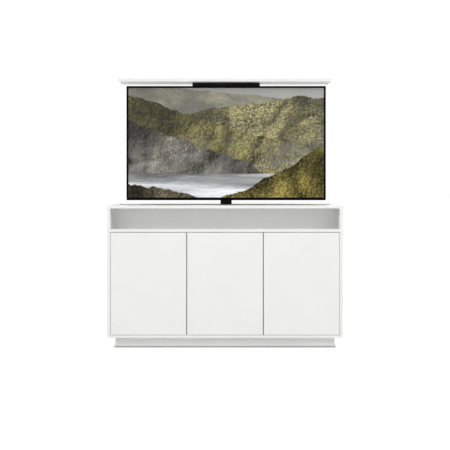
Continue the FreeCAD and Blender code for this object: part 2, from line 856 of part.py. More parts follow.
def bracket_screw_places():
    """Screws that hold the lid bracket to the carrier."""
    middle = lid_bottom - bracket_screw_drop
    for sx in (-1, 1):
        for sz in (-1, 1):
            yield lift_x + sx * carrier_screw_pitch / 2, middle + sz * bracket_screw_pitch / 2


def slot_cutter(x, z, y0, y1):
    """A slot with round ends along X."""
    half = mount_slot_length / 2
    radius = mount_slot_height / 2
    bar = block(x - half + radius, x + half - radius, y0, y1, z - radius, z + radius)
    ends = [rod(radius, (x + side * (half - radius), y0, z), Y, y1 - y0) for side in (-1, 1)]
    return bar.fuse(ends)


def make_mount_plate():
    """The cross plate that the two arms hook over."""
    plate = lift_block(mount_width, plate_front, spine_front, mount_bottom, mount_top)
    corners = [e for e in plate.Edges if e.BoundBox.YLength > tiny]
    plate = plate.makeFillet(mount_corner, corners)
    cutters = [slot_cutter(lift_x + sx * mount_slot_offset, tv_middle + row * mount_slot_pitch,
                           plate_front, spine_front)
               for sx in (-1, 1) for row in (-1, 0, 1)]
    cutters += [screw_hole((x, plate_front, z), Y, mount_sheet) for x, z in plate_screw_places()]
    return plate.cut(cutters)


def make_arm(side):
    """An upright channel screwed to the television, with hooks over the mounting plate."""
    middle = lift_x + side * vesa_pitch / 2
    half = arm_width / 2
    low = tv_middle - vesa_pitch / 2 - arm_overhang
    high = tv_middle + vesa_pitch / 2 + arm_overhang
    arm = block(middle - half, middle + half, tv_back, tv_back + arm_sheet, low, high)
    hook_top = mount_top + hook_height
    hook_back = spine_front + hook_sheet
    hook_low = mount_top - hook_drop
    end_back = plate_front - arm_end_depth
    outline = [(tv_back, low), (tv_back, high), (end_back, high), (plate_front, high - arm_end_height),
               (plate_front, hook_top), (hook_back, hook_top - hook_slope), (hook_back, hook_low),
               (spine_front, hook_low), (spine_front, mount_top), (plate_front, mount_top),
               (plate_front, low + arm_end_height), (end_back, low)]
    for x in (middle - half, middle + half - arm_sheet):
        arm = arm.fuse(prism([(x, y, z) for y, z in outline], X * arm_sheet))
    holes = [screw_hole((x, tv_back, z), Y, arm_sheet) for x, z in vesa_places]
    return arm.cut(holes).removeSplitter()


def lid_screw_places():
    flange_middle = spine_front + (lid_bracket_reach - lid_bracket_sheet) / 2
    for sx in (-1, 1):
        x = lift_x + sx * (lid_bracket_width / 2 - lid_screw_inset)
        yield x, flange_middle - lid_screw_pitch / 2
        yield x, flange_middle + lid_screw_pitch / 2


def make_lid_bracket():
    """Folded steel under the lid: a web on the carrier, a flange that the lid lies on, and gussets."""
    half = lid_bracket_width / 2
    web_front = spine_front - lid_bracket_sheet
    flange_back = web_front + lid_bracket_reach
    under = lid_bottom - lid_bracket_sheet
    web = lift_block(lid_bracket_width, web_front, spine_front, lid_bottom - lid_bracket_drop, lid_bottom)
    flange = lift_block(lid_bracket_width, web_front, flange_back, under, lid_bottom)
    bracket = web.fuse(flange).removeSplitter()
    bracket = round_edges(bracket, lid_bracket_sheet,
                          lambda p: abs(p.y - web_front) < tiny and abs(p.z - lid_bottom) < tiny)
    for start in (-half, -gusset_offset, gusset_offset - lid_bracket_sheet, half - lid_bracket_sheet):
        x = lift_x + start
        gusset = prism([(x, spine_front, under), (x, spine_front + gusset_size, under),
                        (x, spine_front, under - gusset_size)], X * lid_bracket_sheet)
        bracket = bracket.fuse(gusset)
    holes = [screw_hole((x, web_front, z), Y, lid_bracket_sheet) for x, z in bracket_screw_places()]
    holes += [screw_hole((x, y, under), Z, lid_bracket_sheet) for x, y in lid_screw_places()]
    return bracket.cut(holes).removeSplitter()


def make_lid():
    """The lid: its edges lean in towards the underside, so that it drops into the slot freely."""
    wires = []
    middle_y = (slot_front + slot_back) / 2
    for z, inset in ((lid_bottom, lid_undercut), (lid_top, 0.0)):
        half_x = lid_width / 2 - inset
        half_y = lid_depth / 2 - inset
        corners = [FreeCAD.Vector(sx * half_x, middle_y + sy * half_y, z)
                   for sx, sy in ((-1, -1), (1, -1), (1, 1), (-1, 1))]
        wires.append(Part.makePolygon(corners + corners[:1]))
    lid = Part.makeLoft(wires, True, True)
    rim = [e for e in lid.Edges if abs(e.BoundBox.ZMin - lid_top) < tiny]
    lid = lid.makeChamfer(lid_edge, rim)
    return lid.cut([screw_hole((x, y, lid_bottom), Z, lid_thread) for x, y in lid_screw_places()])


def make_bracket_screws():
    """Every screw of the television bracket, of one size and several lengths."""
    web_front = spine_front - lid_bracket_sheet
    flange_under = lid_bottom - lid_bracket_sheet
    for x, y in cap_screw_places():
        yield screw((x, y, carrier_top), -Z, cap_sheet + head_thread)
    for x, z in plate_screw_places():
        yield screw((x, plate_front, z), Y, mount_sheet + spine_sheet + screw_end)
    for x, z in vesa_places:
        yield screw((x, tv_back + arm_sheet, z), -Y, arm_sheet + vesa_thread)
    for x, z in bracket_screw_places():
        yield screw((x, web_front, z), Y, lid_bracket_sheet + spine_sheet + screw_end)
    for x, y in lid_screw_places():
        yield screw((x, y, flange_under), Z, lid_bracket_sheet + lid_thread)


def make_bracketry():
    save("inner_tube_head", make_tube_head())
    save("tv_carrier", make_carrier())
    save("mount_plate", make_mount_plate())
    save("tv_arm_left", make_arm(-1))
    save("tv_arm_right", make_arm(1))
    save("lid_bracket", make_lid_bracket())
    save("bracket_screws", *make_bracket_screws())
    save("lid", make_lid())


# ---- television ----

bezel_back = tv_front + bezel_depth
cover_thin_back = bezel_back + cover_thin_depth
bulge_middle = tv_bottom + bulge_raise + bulge_height / 2
bay_margin = bulge_taper + socket_bay_margin
bay_middle_z = bulge_middle - bulge_height / 2 + bay_margin + socket_bay_height / 2
socket_middle_x = lift_x - bulge_width / 2 + bay_margin + socket_bay_width / 2
inlet_middle_x = lift_x + bulge_width / 2 - bay_margin - inlet_width / 2
bay_floor = tv_back - socket_bay_depth


def make_bezel():
    """The frame round the picture: a thin lip in front and a wall round the edge."""
    frame = lift_block(tv_width, tv_front, bezel_back, tv_bottom, tv_top)
    frame = frame.makeFillet(tv_corner, [e for e in frame.Edges if e.BoundBox.YLength > tiny])
    window = lift_block(tv_width - 2 * bezel_side, tv_front - past, bezel_back + past,
                        tv_bottom + bezel_bottom, tv_top - bezel_side)
    pocket = lift_block(tv_width - 2 * bezel_wall, tv_front + bezel_lip, bezel_back + past,
                        tv_bottom + bezel_wall, tv_top - bezel_wall)
    return frame.cut([window, pocket])


def make_screen():
    gap = bezel_wall + axial_gap
    y0 = tv_front + bezel_lip
    return lift_block(tv_width - 2 * gap, y0, y0 + screen_thickness, tv_bottom + gap, tv_top - gap)


def cover_form(inset):
    """The outside of the rear cover, or with an inset the hollow inside it."""
    wide = tv_width - 2 * inset
    high = tv_height - 2 * inset
    thin = frustum(bezel_back, (wide, high), cover_thin_back - inset,
                   (wide - 2 * cover_taper, high - 2 * cover_taper), lift_x, tv_middle)
    bulge_wide = bulge_width - 2 * inset
    bulge_high = bulge_height - 2 * inset
    start = cover_thin_back - inset - rib_root
    bulge = frustum(start, (bulge_wide, bulge_high), tv_back - inset,
                    (bulge_wide - 2 * bulge_taper, bulge_high - 2 * bulge_taper), lift_x, bulge_middle)
    return thin.fuse(bulge)


def make_vents():
    """A row of upright cooling slots, cut right through the rear wall."""
    z1 = bulge_middle + bulge_height / 2 - bulge_taper - vent_margin
    for i in range(vent_slots):
        x = lift_x + (i - (vent_slots - 1) / 2) * vent_slot_pitch
        yield block(x - vent_slot_width / 2, x + vent_slot_width / 2, tv_back - cover_wall - past,
                    tv_back + past, z1 - vent_slot_height, z1)


def bay_block(middle_x, width, height, y0, y1):
    """A block at the height of the two bays that leads plug into."""
    return block(middle_x - width / 2, middle_x + width / 2, y0, y1,
                 bay_middle_z - height / 2, bay_middle_z + height / 2)


def make_rear_cover():
    """The moulded cover: a thin edge, a raised middle, bosses for the arms, bays for sockets and inlet."""
    cover = cover_form(0.0).cut(cover_form(cover_wall))
    inside_back = tv_back - cover_wall
    boss_front = tv_front + bezel_lip + screen_thickness + vesa_boss_gap
    for x, z in vesa_places:
        boss = rod(vesa_boss_radius, (x, boss_front, z), Y, inside_back + rib_root - boss_front)
        cover = cover.fuse(boss)
    wall = 2 * cover_wall
    walls = [bay_block(socket_middle_x, socket_bay_width + wall, socket_bay_height + wall,
                       bay_floor - cover_wall, inside_back + rib_root),
             bay_block(inlet_middle_x, inlet_width + wall, inlet_height + wall,
                       bay_floor - cover_wall, inside_back + rib_root)]
    cutters = [bay_block(socket_middle_x, socket_bay_width, socket_bay_height, bay_floor, tv_back + past),
               bay_block(inlet_middle_x, inlet_width, inlet_height, bay_floor, tv_back + past)]
    cutters += make_vents()
    for i in range(socket_count):
        x = socket_middle_x + (i - (socket_count - 1) / 2) * socket_pitch
        cutters.append(bay_block(x, socket_width, socket_height, bay_floor - cover_wall - past,
                                 bay_floor + past))
    cutters += [screw_hole((x, tv_back, z), -Y, vesa_thread) for x, z in vesa_places]
    return cover.fuse(walls).cut(cutters).removeSplitter()


def make_television():
    save("tv_bezel", make_bezel())
    save("tv_screen", make_screen())
    save("tv_rear_cover", make_rear_cover())


# ---- bay fittings ----

def make_control_box():
    """The lift's control box on the bay's floor: mains inlet at one end, sockets for the lift at the other."""
    x0 = -control_box_offset - control_box_width / 2
    y1 = back_inside - control_box_gap
    box = block(x0, x0 + control_box_width, y1 - control_box_depth, y1,
                floor_top, floor_top + control_box_height)
    box = round_edges(box, control_box_rounding, lambda p: p.z > floor_top)
    x1 = x0 + control_box_width
    middle_y = y1 - control_box_depth / 2
    middle_z = floor_top + control_box_height / 2
    inlet = block(x0 - past, x0 + inlet_depth, middle_y - inlet_width / 2, middle_y + inlet_width / 2,
                  middle_z - inlet_height / 2, middle_z + inlet_height / 2)
    half = lead_socket_size / 2
    sockets = [block(x1 - lead_socket_depth, x1 + past, y - half, y + half, middle_z - half, middle_z + half)
               for y in (middle_y - lead_socket_pitch / 2, middle_y + lead_socket_pitch / 2)]
    return box.cut([inlet] + sockets)


def main():
    os.makedirs("parts", exist_ok=True)
    make_carcass()
    make_plinth()
    make_doors()
    make_column()
    make_bracketry()
    make_television()
    save("lift_control_box", make_control_box())


main()
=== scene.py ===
# %% [markdown]
# # A television lift cabinet
# A white lacquered cabinet with three doors and an open niche. A screw-driven column stands in a bay behind
# the cupboards, and lifts a television and the lid above it out of a slot in the cabinet's top.
# The boards, the lift and the television come from the CAD frame. This notebook gives them their finishes,
# adds the small pieces that CAD leaves out, and sets up the camera and the light.

# %% Load the frame
import math

import bmesh
import bpy
from mathutils import Matrix, Vector


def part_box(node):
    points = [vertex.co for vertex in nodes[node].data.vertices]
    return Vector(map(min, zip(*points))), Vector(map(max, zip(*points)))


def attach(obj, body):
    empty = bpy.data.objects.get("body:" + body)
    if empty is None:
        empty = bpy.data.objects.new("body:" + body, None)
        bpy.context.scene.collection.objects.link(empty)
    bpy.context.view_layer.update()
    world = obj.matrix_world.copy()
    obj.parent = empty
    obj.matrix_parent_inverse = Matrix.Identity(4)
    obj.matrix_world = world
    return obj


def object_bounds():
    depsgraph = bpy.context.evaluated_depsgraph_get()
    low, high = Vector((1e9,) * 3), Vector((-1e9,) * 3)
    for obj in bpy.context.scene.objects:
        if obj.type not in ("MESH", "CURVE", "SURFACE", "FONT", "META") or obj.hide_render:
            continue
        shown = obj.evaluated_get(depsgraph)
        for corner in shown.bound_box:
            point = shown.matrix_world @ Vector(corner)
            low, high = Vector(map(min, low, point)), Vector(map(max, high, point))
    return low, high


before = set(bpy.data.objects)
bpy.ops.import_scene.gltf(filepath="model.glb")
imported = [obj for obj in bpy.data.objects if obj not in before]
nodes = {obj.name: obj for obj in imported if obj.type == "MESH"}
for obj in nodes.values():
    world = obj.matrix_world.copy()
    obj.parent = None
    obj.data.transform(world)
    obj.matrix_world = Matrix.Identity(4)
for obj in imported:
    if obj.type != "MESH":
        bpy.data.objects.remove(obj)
cad_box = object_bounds()
print("CAD box", [round(value, 4) for corner in cad_box for value in corner])

# %% [markdown]
# ## Measures
# Blender works in metres and a cabinet maker in millimetres, so sizes below are written as a number of `MM`.
# The places of the new pieces are read from the CAD nodes that carry them.

# %% Measures
MM = 0.001

floor_z = cad_box[0].z
top_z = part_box("top_panel")[1].z
back_low, back_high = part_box("back_panel")
screen_low, screen_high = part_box("tv_screen")
cover_low, cover_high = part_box("tv_rear_cover")
print("cabinet height", round(top_z, 4), "screen", [round(s, 3) for s in screen_high - screen_low])

# %% [markdown]
# ## Camera
# The cabinet is seen straight from the front by a level camera a little above its top. A level camera keeps
# the cabinet's uprights parallel. The horizon then lies high in the frame, so the lens is shifted down, as
# an architect's camera is, rather than tilted.

# %% Camera
CAMERA_HEIGHT = 1032 * MM
CAMERA_DISTANCE = 6525 * MM
FOCAL_LENGTH = 85.0          # lens and sensor in millimetres, as a Blender camera takes them
SENSOR_WIDTH = 36.0
HORIZON_ROW = 173.7          # pixels from the top of the frame
FRAME_SIZE = 450             # pixels, square
FAR_CLIP = 200.0

bpy.ops.object.select_all(action="DESELECT")
bpy.ops.object.camera_add(location=(0, -CAMERA_DISTANCE, CAMERA_HEIGHT),
                          rotation=(math.radians(90), 0, 0))
camera = bpy.context.object
camera.name = "camera"
camera.data.lens = FOCAL_LENGTH
camera.data.sensor_width = SENSOR_WIDTH
camera.data.shift_y = (HORIZON_ROW - FRAME_SIZE / 2) / FRAME_SIZE
camera.data.clip_end = FAR_CLIP
bpy.context.scene.camera = camera
bpy.context.scene.view_settings.view_transform = "Standard"
print("camera shift", round(camera.data.shift_y, 4))

# %% [markdown]
# ## Helpers for the finishes
# Finishes are built from nodes. One helper adds a node, changes its settings, and fills or links its
# sockets. Another turns a colour written as on a paint card, in sRGB, into the linear numbers that Blender's
# shaders work in. The third starts an empty material.

# %% Node and colour helpers
def linear(code):
    """An sRGB colour such as "#f2f2ef" as linear red, green, blue and alpha."""
    shares = [int(code[i:i + 2], 16) / 255 for i in (1, 3, 5)]
    curve = [s / 12.92 if s <= 0.04045 else ((s + 0.055) / 1.055) ** 2.4 for s in shares]
    return (*curve, 1.0)


def add(tree, kind, sockets=None, **settings):
    """Adds a shader node. A socket is given a value, or another node's output to link to."""
    node = tree.nodes.new("ShaderNode" + kind)
    for name, value in settings.items():
        setattr(node, name, value)
    for key, value in (sockets or {}).items():
        if isinstance(value, bpy.types.NodeSocket):
            tree.links.new(value, node.inputs[key])
        else:
            node.inputs[key].default_value = value
    return node


# A Mix node has its factor, its two colours and its colour result at these places.
FACTOR, FIRST, SECOND, RESULT = 0, 6, 7, 2


def new_finish(name):
    """An empty material with its output node."""
    finish = bpy.data.materials.new(name)
    finish.use_nodes = True
    finish.node_tree.nodes.clear()
    return finish, finish.node_tree, add(finish.node_tree, "OutputMaterial")


WHITE = "#ffffff"
print("white card", [round(v, 3) for v in linear(WHITE)])

# %% [markdown]
# ## Floor and surroundings
# The set is a white studio with no corners to be seen. The floor is white paint that keeps the object's
# shadow. Towards the camera it also glows, so that it is pure white wherever no deep shadow falls. Under
# the plinth and just before it, as deep as the doors overhang it, the glow fades out: a painted contact
# shadow, which leaves the dark line where the two meet. Beside the plinth, where the lamps reach in, the
# painted shadow fades much quicker.
# The surroundings are full white to the camera and in reflections. As a lamp they are softer, so that the
# white boards don't burn out, and weaker overhead than at the horizon, where a studio's lit walls are.

# %% Floor
FLOOR_RADIUS = 40.0
FLOOR_SIDES = 96

bpy.ops.mesh.primitive_circle_add(vertices=FLOOR_SIDES, radius=FLOOR_RADIUS, fill_type="NGON",
                                  location=(0, 0, floor_z))
studio_floor = bpy.context.object
studio_floor.name = "studio_floor"
print("floor at", round(floor_z, 4))


# %% What the camera and reflections see
def seen_directly(tree):
    """1 for a ray from the camera, off a gloss or through glass, and 0 for one that gathers light."""
    rays = add(tree, "LightPath")
    seen = add(tree, "Math", {0: rays.outputs["Is Camera Ray"], 1: rays.outputs["Is Glossy Ray"]},
               operation="MAXIMUM")
    return add(tree, "Math", {0: seen.outputs[0], 1: rays.outputs["Is Transmission Ray"]},
               operation="MAXIMUM").outputs[0]


print("camera, glossy and transmission rays see the studio white")

# %% Floor paint
# The floor's glow fades out near the plinth, and so paints a contact shadow there.
FLOOR_GLOW = 0.72
FLOOR_PAINT = "#d5d5d4"
PAINTED_SHADOW_REACH = 138 * MM         # in front of the plinth, to the full glow
PAINTED_SHADOW_QUICKENING = 8.0             # times quicker beside the plinth


def outside(tree, place, low, high):
    """How far a place on one axis lies outside the plinth, and 0 between its sides."""
    below = add(tree, "Math", {0: low, 1: place}, operation="SUBTRACT")
    above = add(tree, "Math", {0: place, 1: high}, operation="SUBTRACT")
    either = add(tree, "Math", {0: below.outputs[0], 1: above.outputs[0]}, operation="MAXIMUM")
    return add(tree, "Math", {0: either.outputs[0], 1: 0.0}, operation="MAXIMUM").outputs[0]


def floor_paint(plinth_low, plinth_high):
    finish, tree, output = new_finish("studio_floor_paint")
    place = add(tree, "SeparateXYZ", {"Vector": add(tree, "TexCoord").outputs["Object"]})
    beside = outside(tree, place.outputs["X"], plinth_low.x, plinth_high.x)
    before = outside(tree, place.outputs["Y"], plinth_low.y, plinth_high.y)
    quickened = add(tree, "Math", {0: beside, 1: PAINTED_SHADOW_QUICKENING}, operation="MULTIPLY")
    corner = add(tree, "CombineXYZ", {"X": quickened.outputs[0], "Y": before})
    away = add(tree, "VectorMath", {0: corner.outputs[0]}, operation="LENGTH")
    # Near the plinth the glow is faded out: a painted contact shadow on the floor.
    glow_over_painted_shadow = add(tree, "MapRange", {"Value": away.outputs["Value"], "From Max": PAINTED_SHADOW_REACH,
                                       "To Max": FLOOR_GLOW}, interpolation_type="SMOOTHSTEP")
    paint = add(tree, "BsdfDiffuse", {"Color": linear(FLOOR_PAINT)})
    glow = add(tree, "Emission", {"Color": linear(WHITE), "Strength": glow_over_painted_shadow.outputs[0]})
    glowing = add(tree, "AddShader", {0: paint.outputs[0], 1: glow.outputs[0]})
    mixed = add(tree, "MixShader", {0: seen_directly(tree), 1: paint.outputs[0], 2: glowing.outputs[0]})
    tree.links.new(mixed.outputs[0], output.inputs["Surface"])
    return finish


studio_floor.data.materials.append(floor_paint(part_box("plinth_front")[0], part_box("plinth_back")[1]))
print("the glow fades out over", PAINTED_SHADOW_REACH, "m in front of the plinth")

# %% Surroundings
SKY_AT_HORIZON = 0.89
SKY_OVERHEAD = 0.37

world = bpy.data.worlds.new("studio_surroundings")
bpy.context.scene.world = world
world.use_nodes = True
tree = world.node_tree
tree.nodes.clear()
direction = add(tree, "SeparateXYZ", {"Vector": add(tree, "TexCoord").outputs["Generated"]})
as_lamp = add(tree, "MapRange", {"Value": direction.outputs["Z"], "To Min": SKY_AT_HORIZON,
                                 "To Max": SKY_OVERHEAD})
strength = add(tree, "Mix", {"Factor": seen_directly(tree), "A": as_lamp.outputs[0], "B": 1.0},
               data_type="FLOAT")
sky = add(tree, "Background", {"Color": linear(WHITE), "Strength": strength.outputs[0]})
tree.links.new(sky.outputs[0], add(tree, "OutputWorld").inputs["Surface"])
print("surroundings as a lamp, from the horizon up:", SKY_AT_HORIZON, SKY_OVERHEAD)

# %% [markdown]
# ## Lamps
# Big square lamps give soft shadows, as softboxes do. Two hang high in front, the stronger one to the right,
# and throw the top's shadow into the niche. A weak lamp behind keeps the back readable. All are hidden from
# the camera, because other views turn round the object and would look into them. The front lamps also stay
# out of reflections, where their glare would burn out the white top and lid seen from behind. The back
# lamp's highlight stays, because it is what shows the black steel's edges.

# %% Lamps
AIM = Vector((0, 0, 0.8))
LAMPS = (
    # name, place, side of the square in metres, watts
    ("left", (-3.0, -4.0, 4.2), 2.6, 105.0),
    ("right", (3.4, -3.8, 4.2), 2.6, 115.0),
    ("back", (1.5, 4.0, 3.0), 2.4, 26.0),
)
for name, place, side, watts in LAMPS:
    bpy.ops.object.light_add(type="AREA", location=place)
    lamp = bpy.context.object
    lamp.name = f"{name}_lamp"
    lamp.data.size = side
    lamp.data.energy = watts
    lamp.rotation_euler = (AIM - lamp.location).to_track_quat("-Z", "Y").to_euler()
    lamp.visible_camera = False
    lamp.visible_glossy = name == "back"
    print(name, "lamp", watts, "W")

# %% [markdown]
# ## Satin lacquer
# The cabinet is fibreboard sprayed with white satin lacquer. Sprayed lacquer isn't quite flat: it dries to
# a very fine "orange peel", with a slow waviness from sanding under it, and its gloss varies a little from
# hand to hand. The colour is a white with a touch of warmth. A Principled shader gives the gloss. Two noise
# patterns bump it, and a third, the size of a palm, moves its roughness and its colour by a shade.

# %% Satin lacquer
ORANGE_PEEL = 7 * MM         # 2 mm on the real board, drawn coarser so that it shows
WAVINESS = 90 * MM
PALM = 160 * MM


def satin_lacquer(name, shade, cloud_shade, roughness):
    """Sprayed lacquer in two near shades, with orange peel over a slow waviness."""
    finish, tree, output = new_finish(name)
    place = add(tree, "TexCoord").outputs["Object"]
    palm = add(tree, "TexNoise", {"Vector": place, "Scale": 1 / PALM, "Detail": 3.0, "Roughness": 0.55})
    clouds = add(tree, "MapRange", {"Value": palm.outputs["Fac"], "From Min": 0.35, "From Max": 0.65})
    colour = add(tree, "Mix", {FACTOR: clouds.outputs[0], FIRST: linear(shade), SECOND: linear(cloud_shade)},
                 data_type="RGBA")
    gloss = add(tree, "MapRange", {"Value": palm.outputs["Fac"], "From Min": 0.3, "From Max": 0.7,
                                   "To Min": roughness - 0.04, "To Max": roughness + 0.05})
    waves = add(tree, "TexNoise", {"Vector": place, "Scale": 1 / WAVINESS, "Detail": 1.0})
    peel = add(tree, "TexNoise", {"Vector": place, "Scale": 1 / ORANGE_PEEL, "Detail": 2.0,
                                  "Roughness": 0.4})
    slow = add(tree, "Bump", {"Height": waves.outputs["Fac"], "Strength": 0.05, "Distance": 4 * MM})
    fine = add(tree, "Bump", {"Height": peel.outputs["Fac"], "Strength": 0.06, "Distance": 0.5 * MM,
                              "Normal": slow.outputs[0]})
    body = add(tree, "BsdfPrincipled", {"Base Color": colour.outputs[RESULT], "Roughness": gloss.outputs[0],
                                        "IOR": 1.5, "Normal": fine.outputs[0]})
    tree.links.new(body.outputs[0], output.inputs["Surface"])
    return finish


cabinet_lacquer = satin_lacquer("satin_white_lacquer", "#f1f1f0", "#efefed", 0.36)
# The plinth's lacquer is painted a shade whiter than the cabinet's: painted light, which brightens the
# plinth in the shade under the cabinet's overhang.
plinth_lacquer = satin_lacquer("plinth_lacquer_painted_lighter", "#f8f8f7", "#f5f5f4", 0.42)
print(cabinet_lacquer.name, plinth_lacquer.name)

# %% [markdown]
# ## Boards that nobody looks at
# The back is thin fibreboard with a printed white face. Its surface shows the fibres as short, low
# bumps. The glue blocks in the plinth are bare fibreboard, a warm brown felt of pressed fibres.

# %% Back board and bare board
FIBRE_LENGTH = 9 * MM        # 3 mm on the real board, drawn coarser so that it shows
FIBRE_WIDTH = 2.5 * MM


def pressed_board(name, shade, fibre_shade, roughness, bump):
    """Fibreboard: streaks of fibre that lie along the board, over a cloudy ground."""
    finish, tree, output = new_finish(name)
    place = add(tree, "TexCoord").outputs["Object"]
    along = add(tree, "Mapping", {
        "Vector": place, "Scale": (1 / FIBRE_LENGTH, 1 / FIBRE_LENGTH, 1 / FIBRE_WIDTH)})
    fibres = add(tree, "TexNoise", {"Vector": along.outputs[0], "Scale": 1.0, "Detail": 4.0,
                                    "Roughness": 0.7})
    ground = add(tree, "TexNoise", {"Vector": place, "Scale": 1 / PALM, "Detail": 3.0})
    amount = add(tree, "Math", {0: fibres.outputs["Fac"], 1: ground.outputs["Fac"]}, operation="MULTIPLY")
    amount = add(tree, "MapRange", {"Value": amount.outputs[0], "From Min": 0.12, "From Max": 0.42})
    colour = add(tree, "Mix", {FACTOR: amount.outputs[0], FIRST: linear(fibre_shade), SECOND: linear(shade)},
                 data_type="RGBA")
    relief = add(tree, "Bump", {"Height": fibres.outputs["Fac"], "Strength": bump, "Distance": 0.4 * MM})
    body = add(tree, "BsdfPrincipled", {"Base Color": colour.outputs[RESULT], "Roughness": roughness,
                                        "IOR": 1.5, "Normal": relief.outputs[0]})
    tree.links.new(body.outputs[0], output.inputs["Surface"])
    return finish


back_board_face = pressed_board("white_faced_fibreboard", "#ecebe7", "#e2e1dc", 0.55, 0.25)
bare_fibreboard = pressed_board("bare_fibreboard", "#b08f66", "#8a6a45", 0.85, 0.8)
print(back_board_face.name, bare_fibreboard.name)

# %% [markdown]
# ## Steel
# The column, the carrier, the arms and the lid bracket are powder coated: a baked plastic skin, black and
# faintly pimpled, with soft broad highlights. Screws, pins and spindles are bright zinc plated steel: a
# cool, slightly cloudy metal, whose plating went on unevenly.

# %% Powder coat and zinc
POWDER_GRAIN = 3 * MM        # 0.4 mm on the real steel, drawn coarser so that it shows
ZINC_CLOUD = 6 * MM


def powder_coat(name, shade, worn_shade, roughness):
    """A baked plastic skin: pimples all over, and large patches of a second shade."""
    finish, tree, output = new_finish(name)
    place = add(tree, "TexCoord").outputs["Object"]
    grain = add(tree, "TexNoise", {"Vector": place, "Scale": 1 / POWDER_GRAIN, "Detail": 2.0,
                                   "Roughness": 0.6})
    patches = add(tree, "TexNoise", {"Vector": place, "Scale": 1 / PALM, "Detail": 4.0})
    amount = add(tree, "MapRange", {"Value": patches.outputs["Fac"], "From Min": 0.4, "From Max": 0.7})
    colour = add(tree, "Mix", {FACTOR: amount.outputs[0], FIRST: linear(shade), SECOND: linear(worn_shade)},
                 data_type="RGBA")
    gloss = add(tree, "MapRange", {"Value": grain.outputs["Fac"], "To Min": roughness - 0.08,
                                   "To Max": roughness + 0.08})
    pimples = add(tree, "Bump", {"Height": grain.outputs["Fac"], "Strength": 0.35, "Distance": 0.3 * MM})
    body = add(tree, "BsdfPrincipled", {"Base Color": colour.outputs[RESULT], "Roughness": gloss.outputs[0],
                                        "Specular IOR Level": 0.3, "Normal": pimples.outputs[0]})
    tree.links.new(body.outputs[0], output.inputs["Surface"])
    return finish


def plated_metal(name, shade, dull_shade, roughness):
    """Bare or plated metal whose clouds are duller and rougher."""
    finish, tree, output = new_finish(name)
    place = add(tree, "TexCoord").outputs["Object"]
    cloud = add(tree, "TexNoise", {"Vector": place, "Scale": 1 / ZINC_CLOUD, "Detail": 5.0,
                                   "Roughness": 0.6})
    colour = add(tree, "Mix", {FACTOR: cloud.outputs["Fac"], FIRST: linear(shade),
                               SECOND: linear(dull_shade)}, data_type="RGBA")
    gloss = add(tree, "MapRange", {"Value": cloud.outputs["Fac"], "To Min": roughness - 0.1,
                                   "To Max": roughness + 0.12})
    body = add(tree, "BsdfPrincipled", {"Base Color": colour.outputs[RESULT], "Metallic": 1.0,
                                        "Roughness": gloss.outputs[0]})
    tree.links.new(body.outputs[0], output.inputs["Surface"])
    return finish


black_powder_coat = powder_coat("black_powder_coat", "#0b0b0c", "#101011", 0.5)
motor_paint = powder_coat("grey_motor_paint", "#3c3e40", "#4a4c4e", 0.45)
bright_zinc = plated_metal("bright_zinc_plate", "#c9cccf", "#a4a8ab", 0.32)
cast_aluminium = plated_metal("sand_cast_aluminium", "#b4b6b7", "#8c8f90", 0.55)
nut_bronze = plated_metal("turned_bronze", "#b98a4e", "#94692f", 0.35)
print([m.name for m in (black_powder_coat, motor_paint, bright_zinc, cast_aluminium, nut_bronze)])

# %% [markdown]
# ## Moulded plastics
# Moulded plastic takes its surface from the mould. The television's rear cover and the lift's control box
# come from spark-eroded moulds, which leave an even fine grain that hides finger marks. The bezel's mould
# is polished. The guides, bushes and glides are nylon, a little waxy and smooth.

# %% Moulded plastics
ERODED_GRAIN = 4 * MM        # 0.3 mm in the real mould, drawn coarser so that it shows
POLISHED_GRAIN = 4 * MM
NYLON_GRAIN = 6 * MM


def moulded_plastic(name, shade, roughness, grain_size, grain_strength, specular=0.3):
    """One shade with the mould's grain, a little uneven where the plastic flowed."""
    finish, tree, output = new_finish(name)
    place = add(tree, "TexCoord").outputs["Object"]
    grain = add(tree, "TexVoronoi", {"Vector": place, "Scale": 1 / grain_size}, feature="SMOOTH_F1")
    flow = add(tree, "TexNoise", {"Vector": place, "Scale": 1 / PALM, "Detail": 2.0})
    tone = add(tree, "MapRange", {"Value": flow.outputs["Fac"], "To Min": 0.9, "To Max": 1.12})
    colour = add(tree, "HueSaturation", {"Color": linear(shade), "Value": tone.outputs[0]})
    gloss = add(tree, "MapRange", {"Value": flow.outputs["Fac"], "To Min": roughness - 0.05,
                                   "To Max": roughness + 0.05})
    relief = add(tree, "Bump", {"Height": grain.outputs["Distance"], "Strength": grain_strength,
                                "Distance": 0.3 * MM})
    body = add(tree, "BsdfPrincipled", {"Base Color": colour.outputs[0], "Roughness": gloss.outputs[0],
                                        "Specular IOR Level": specular, "Normal": relief.outputs[0]})
    tree.links.new(body.outputs[0], output.inputs["Surface"])
    return finish


bezel_plastic = moulded_plastic("polished_black_abs", "#030304", 0.2, POLISHED_GRAIN, 0.02, specular=0.04)
cover_plastic = moulded_plastic("eroded_black_abs", "#161617", 0.6, ERODED_GRAIN, 0.5)
control_plastic = moulded_plastic("eroded_grey_abs", "#2c2d2f", 0.62, ERODED_GRAIN, 0.5)
guide_nylon = moulded_plastic("black_nylon", "#1f1f20", 0.45, NYLON_GRAIN, 0.1)
latch_plastic = moulded_plastic("grey_acetal", "#c3c5c6", 0.4, NYLON_GRAIN, 0.1, specular=0.5)
print([m.name for m in (bezel_plastic, cover_plastic, control_plastic, guide_nylon, latch_plastic)])

# %% [markdown]
# ## The picture on the screen
# The television shows a landscape. It is painted as a scene painter would: a pale misty ground first, then
# one ridge in front of another, each with its own edge, colours and haze. A ridge's edge is a height that
# rises, falls and wobbles with a noise. Its ground is a noise too, whose steps are bent by a second noise so
# that nothing runs straight. Ridged noise gives the gullies, which stay dark, and two samples a little apart
# give the relief: where the ground faces the light it is brighter. The lake is a ridge with a level edge and
# flat, stretched ripples. A display's outermost millimetres never light, so the picture ends just inside the
# bezel.
# The colours go into the shader's base colour, so the picture is also there when the part leaves Blender.

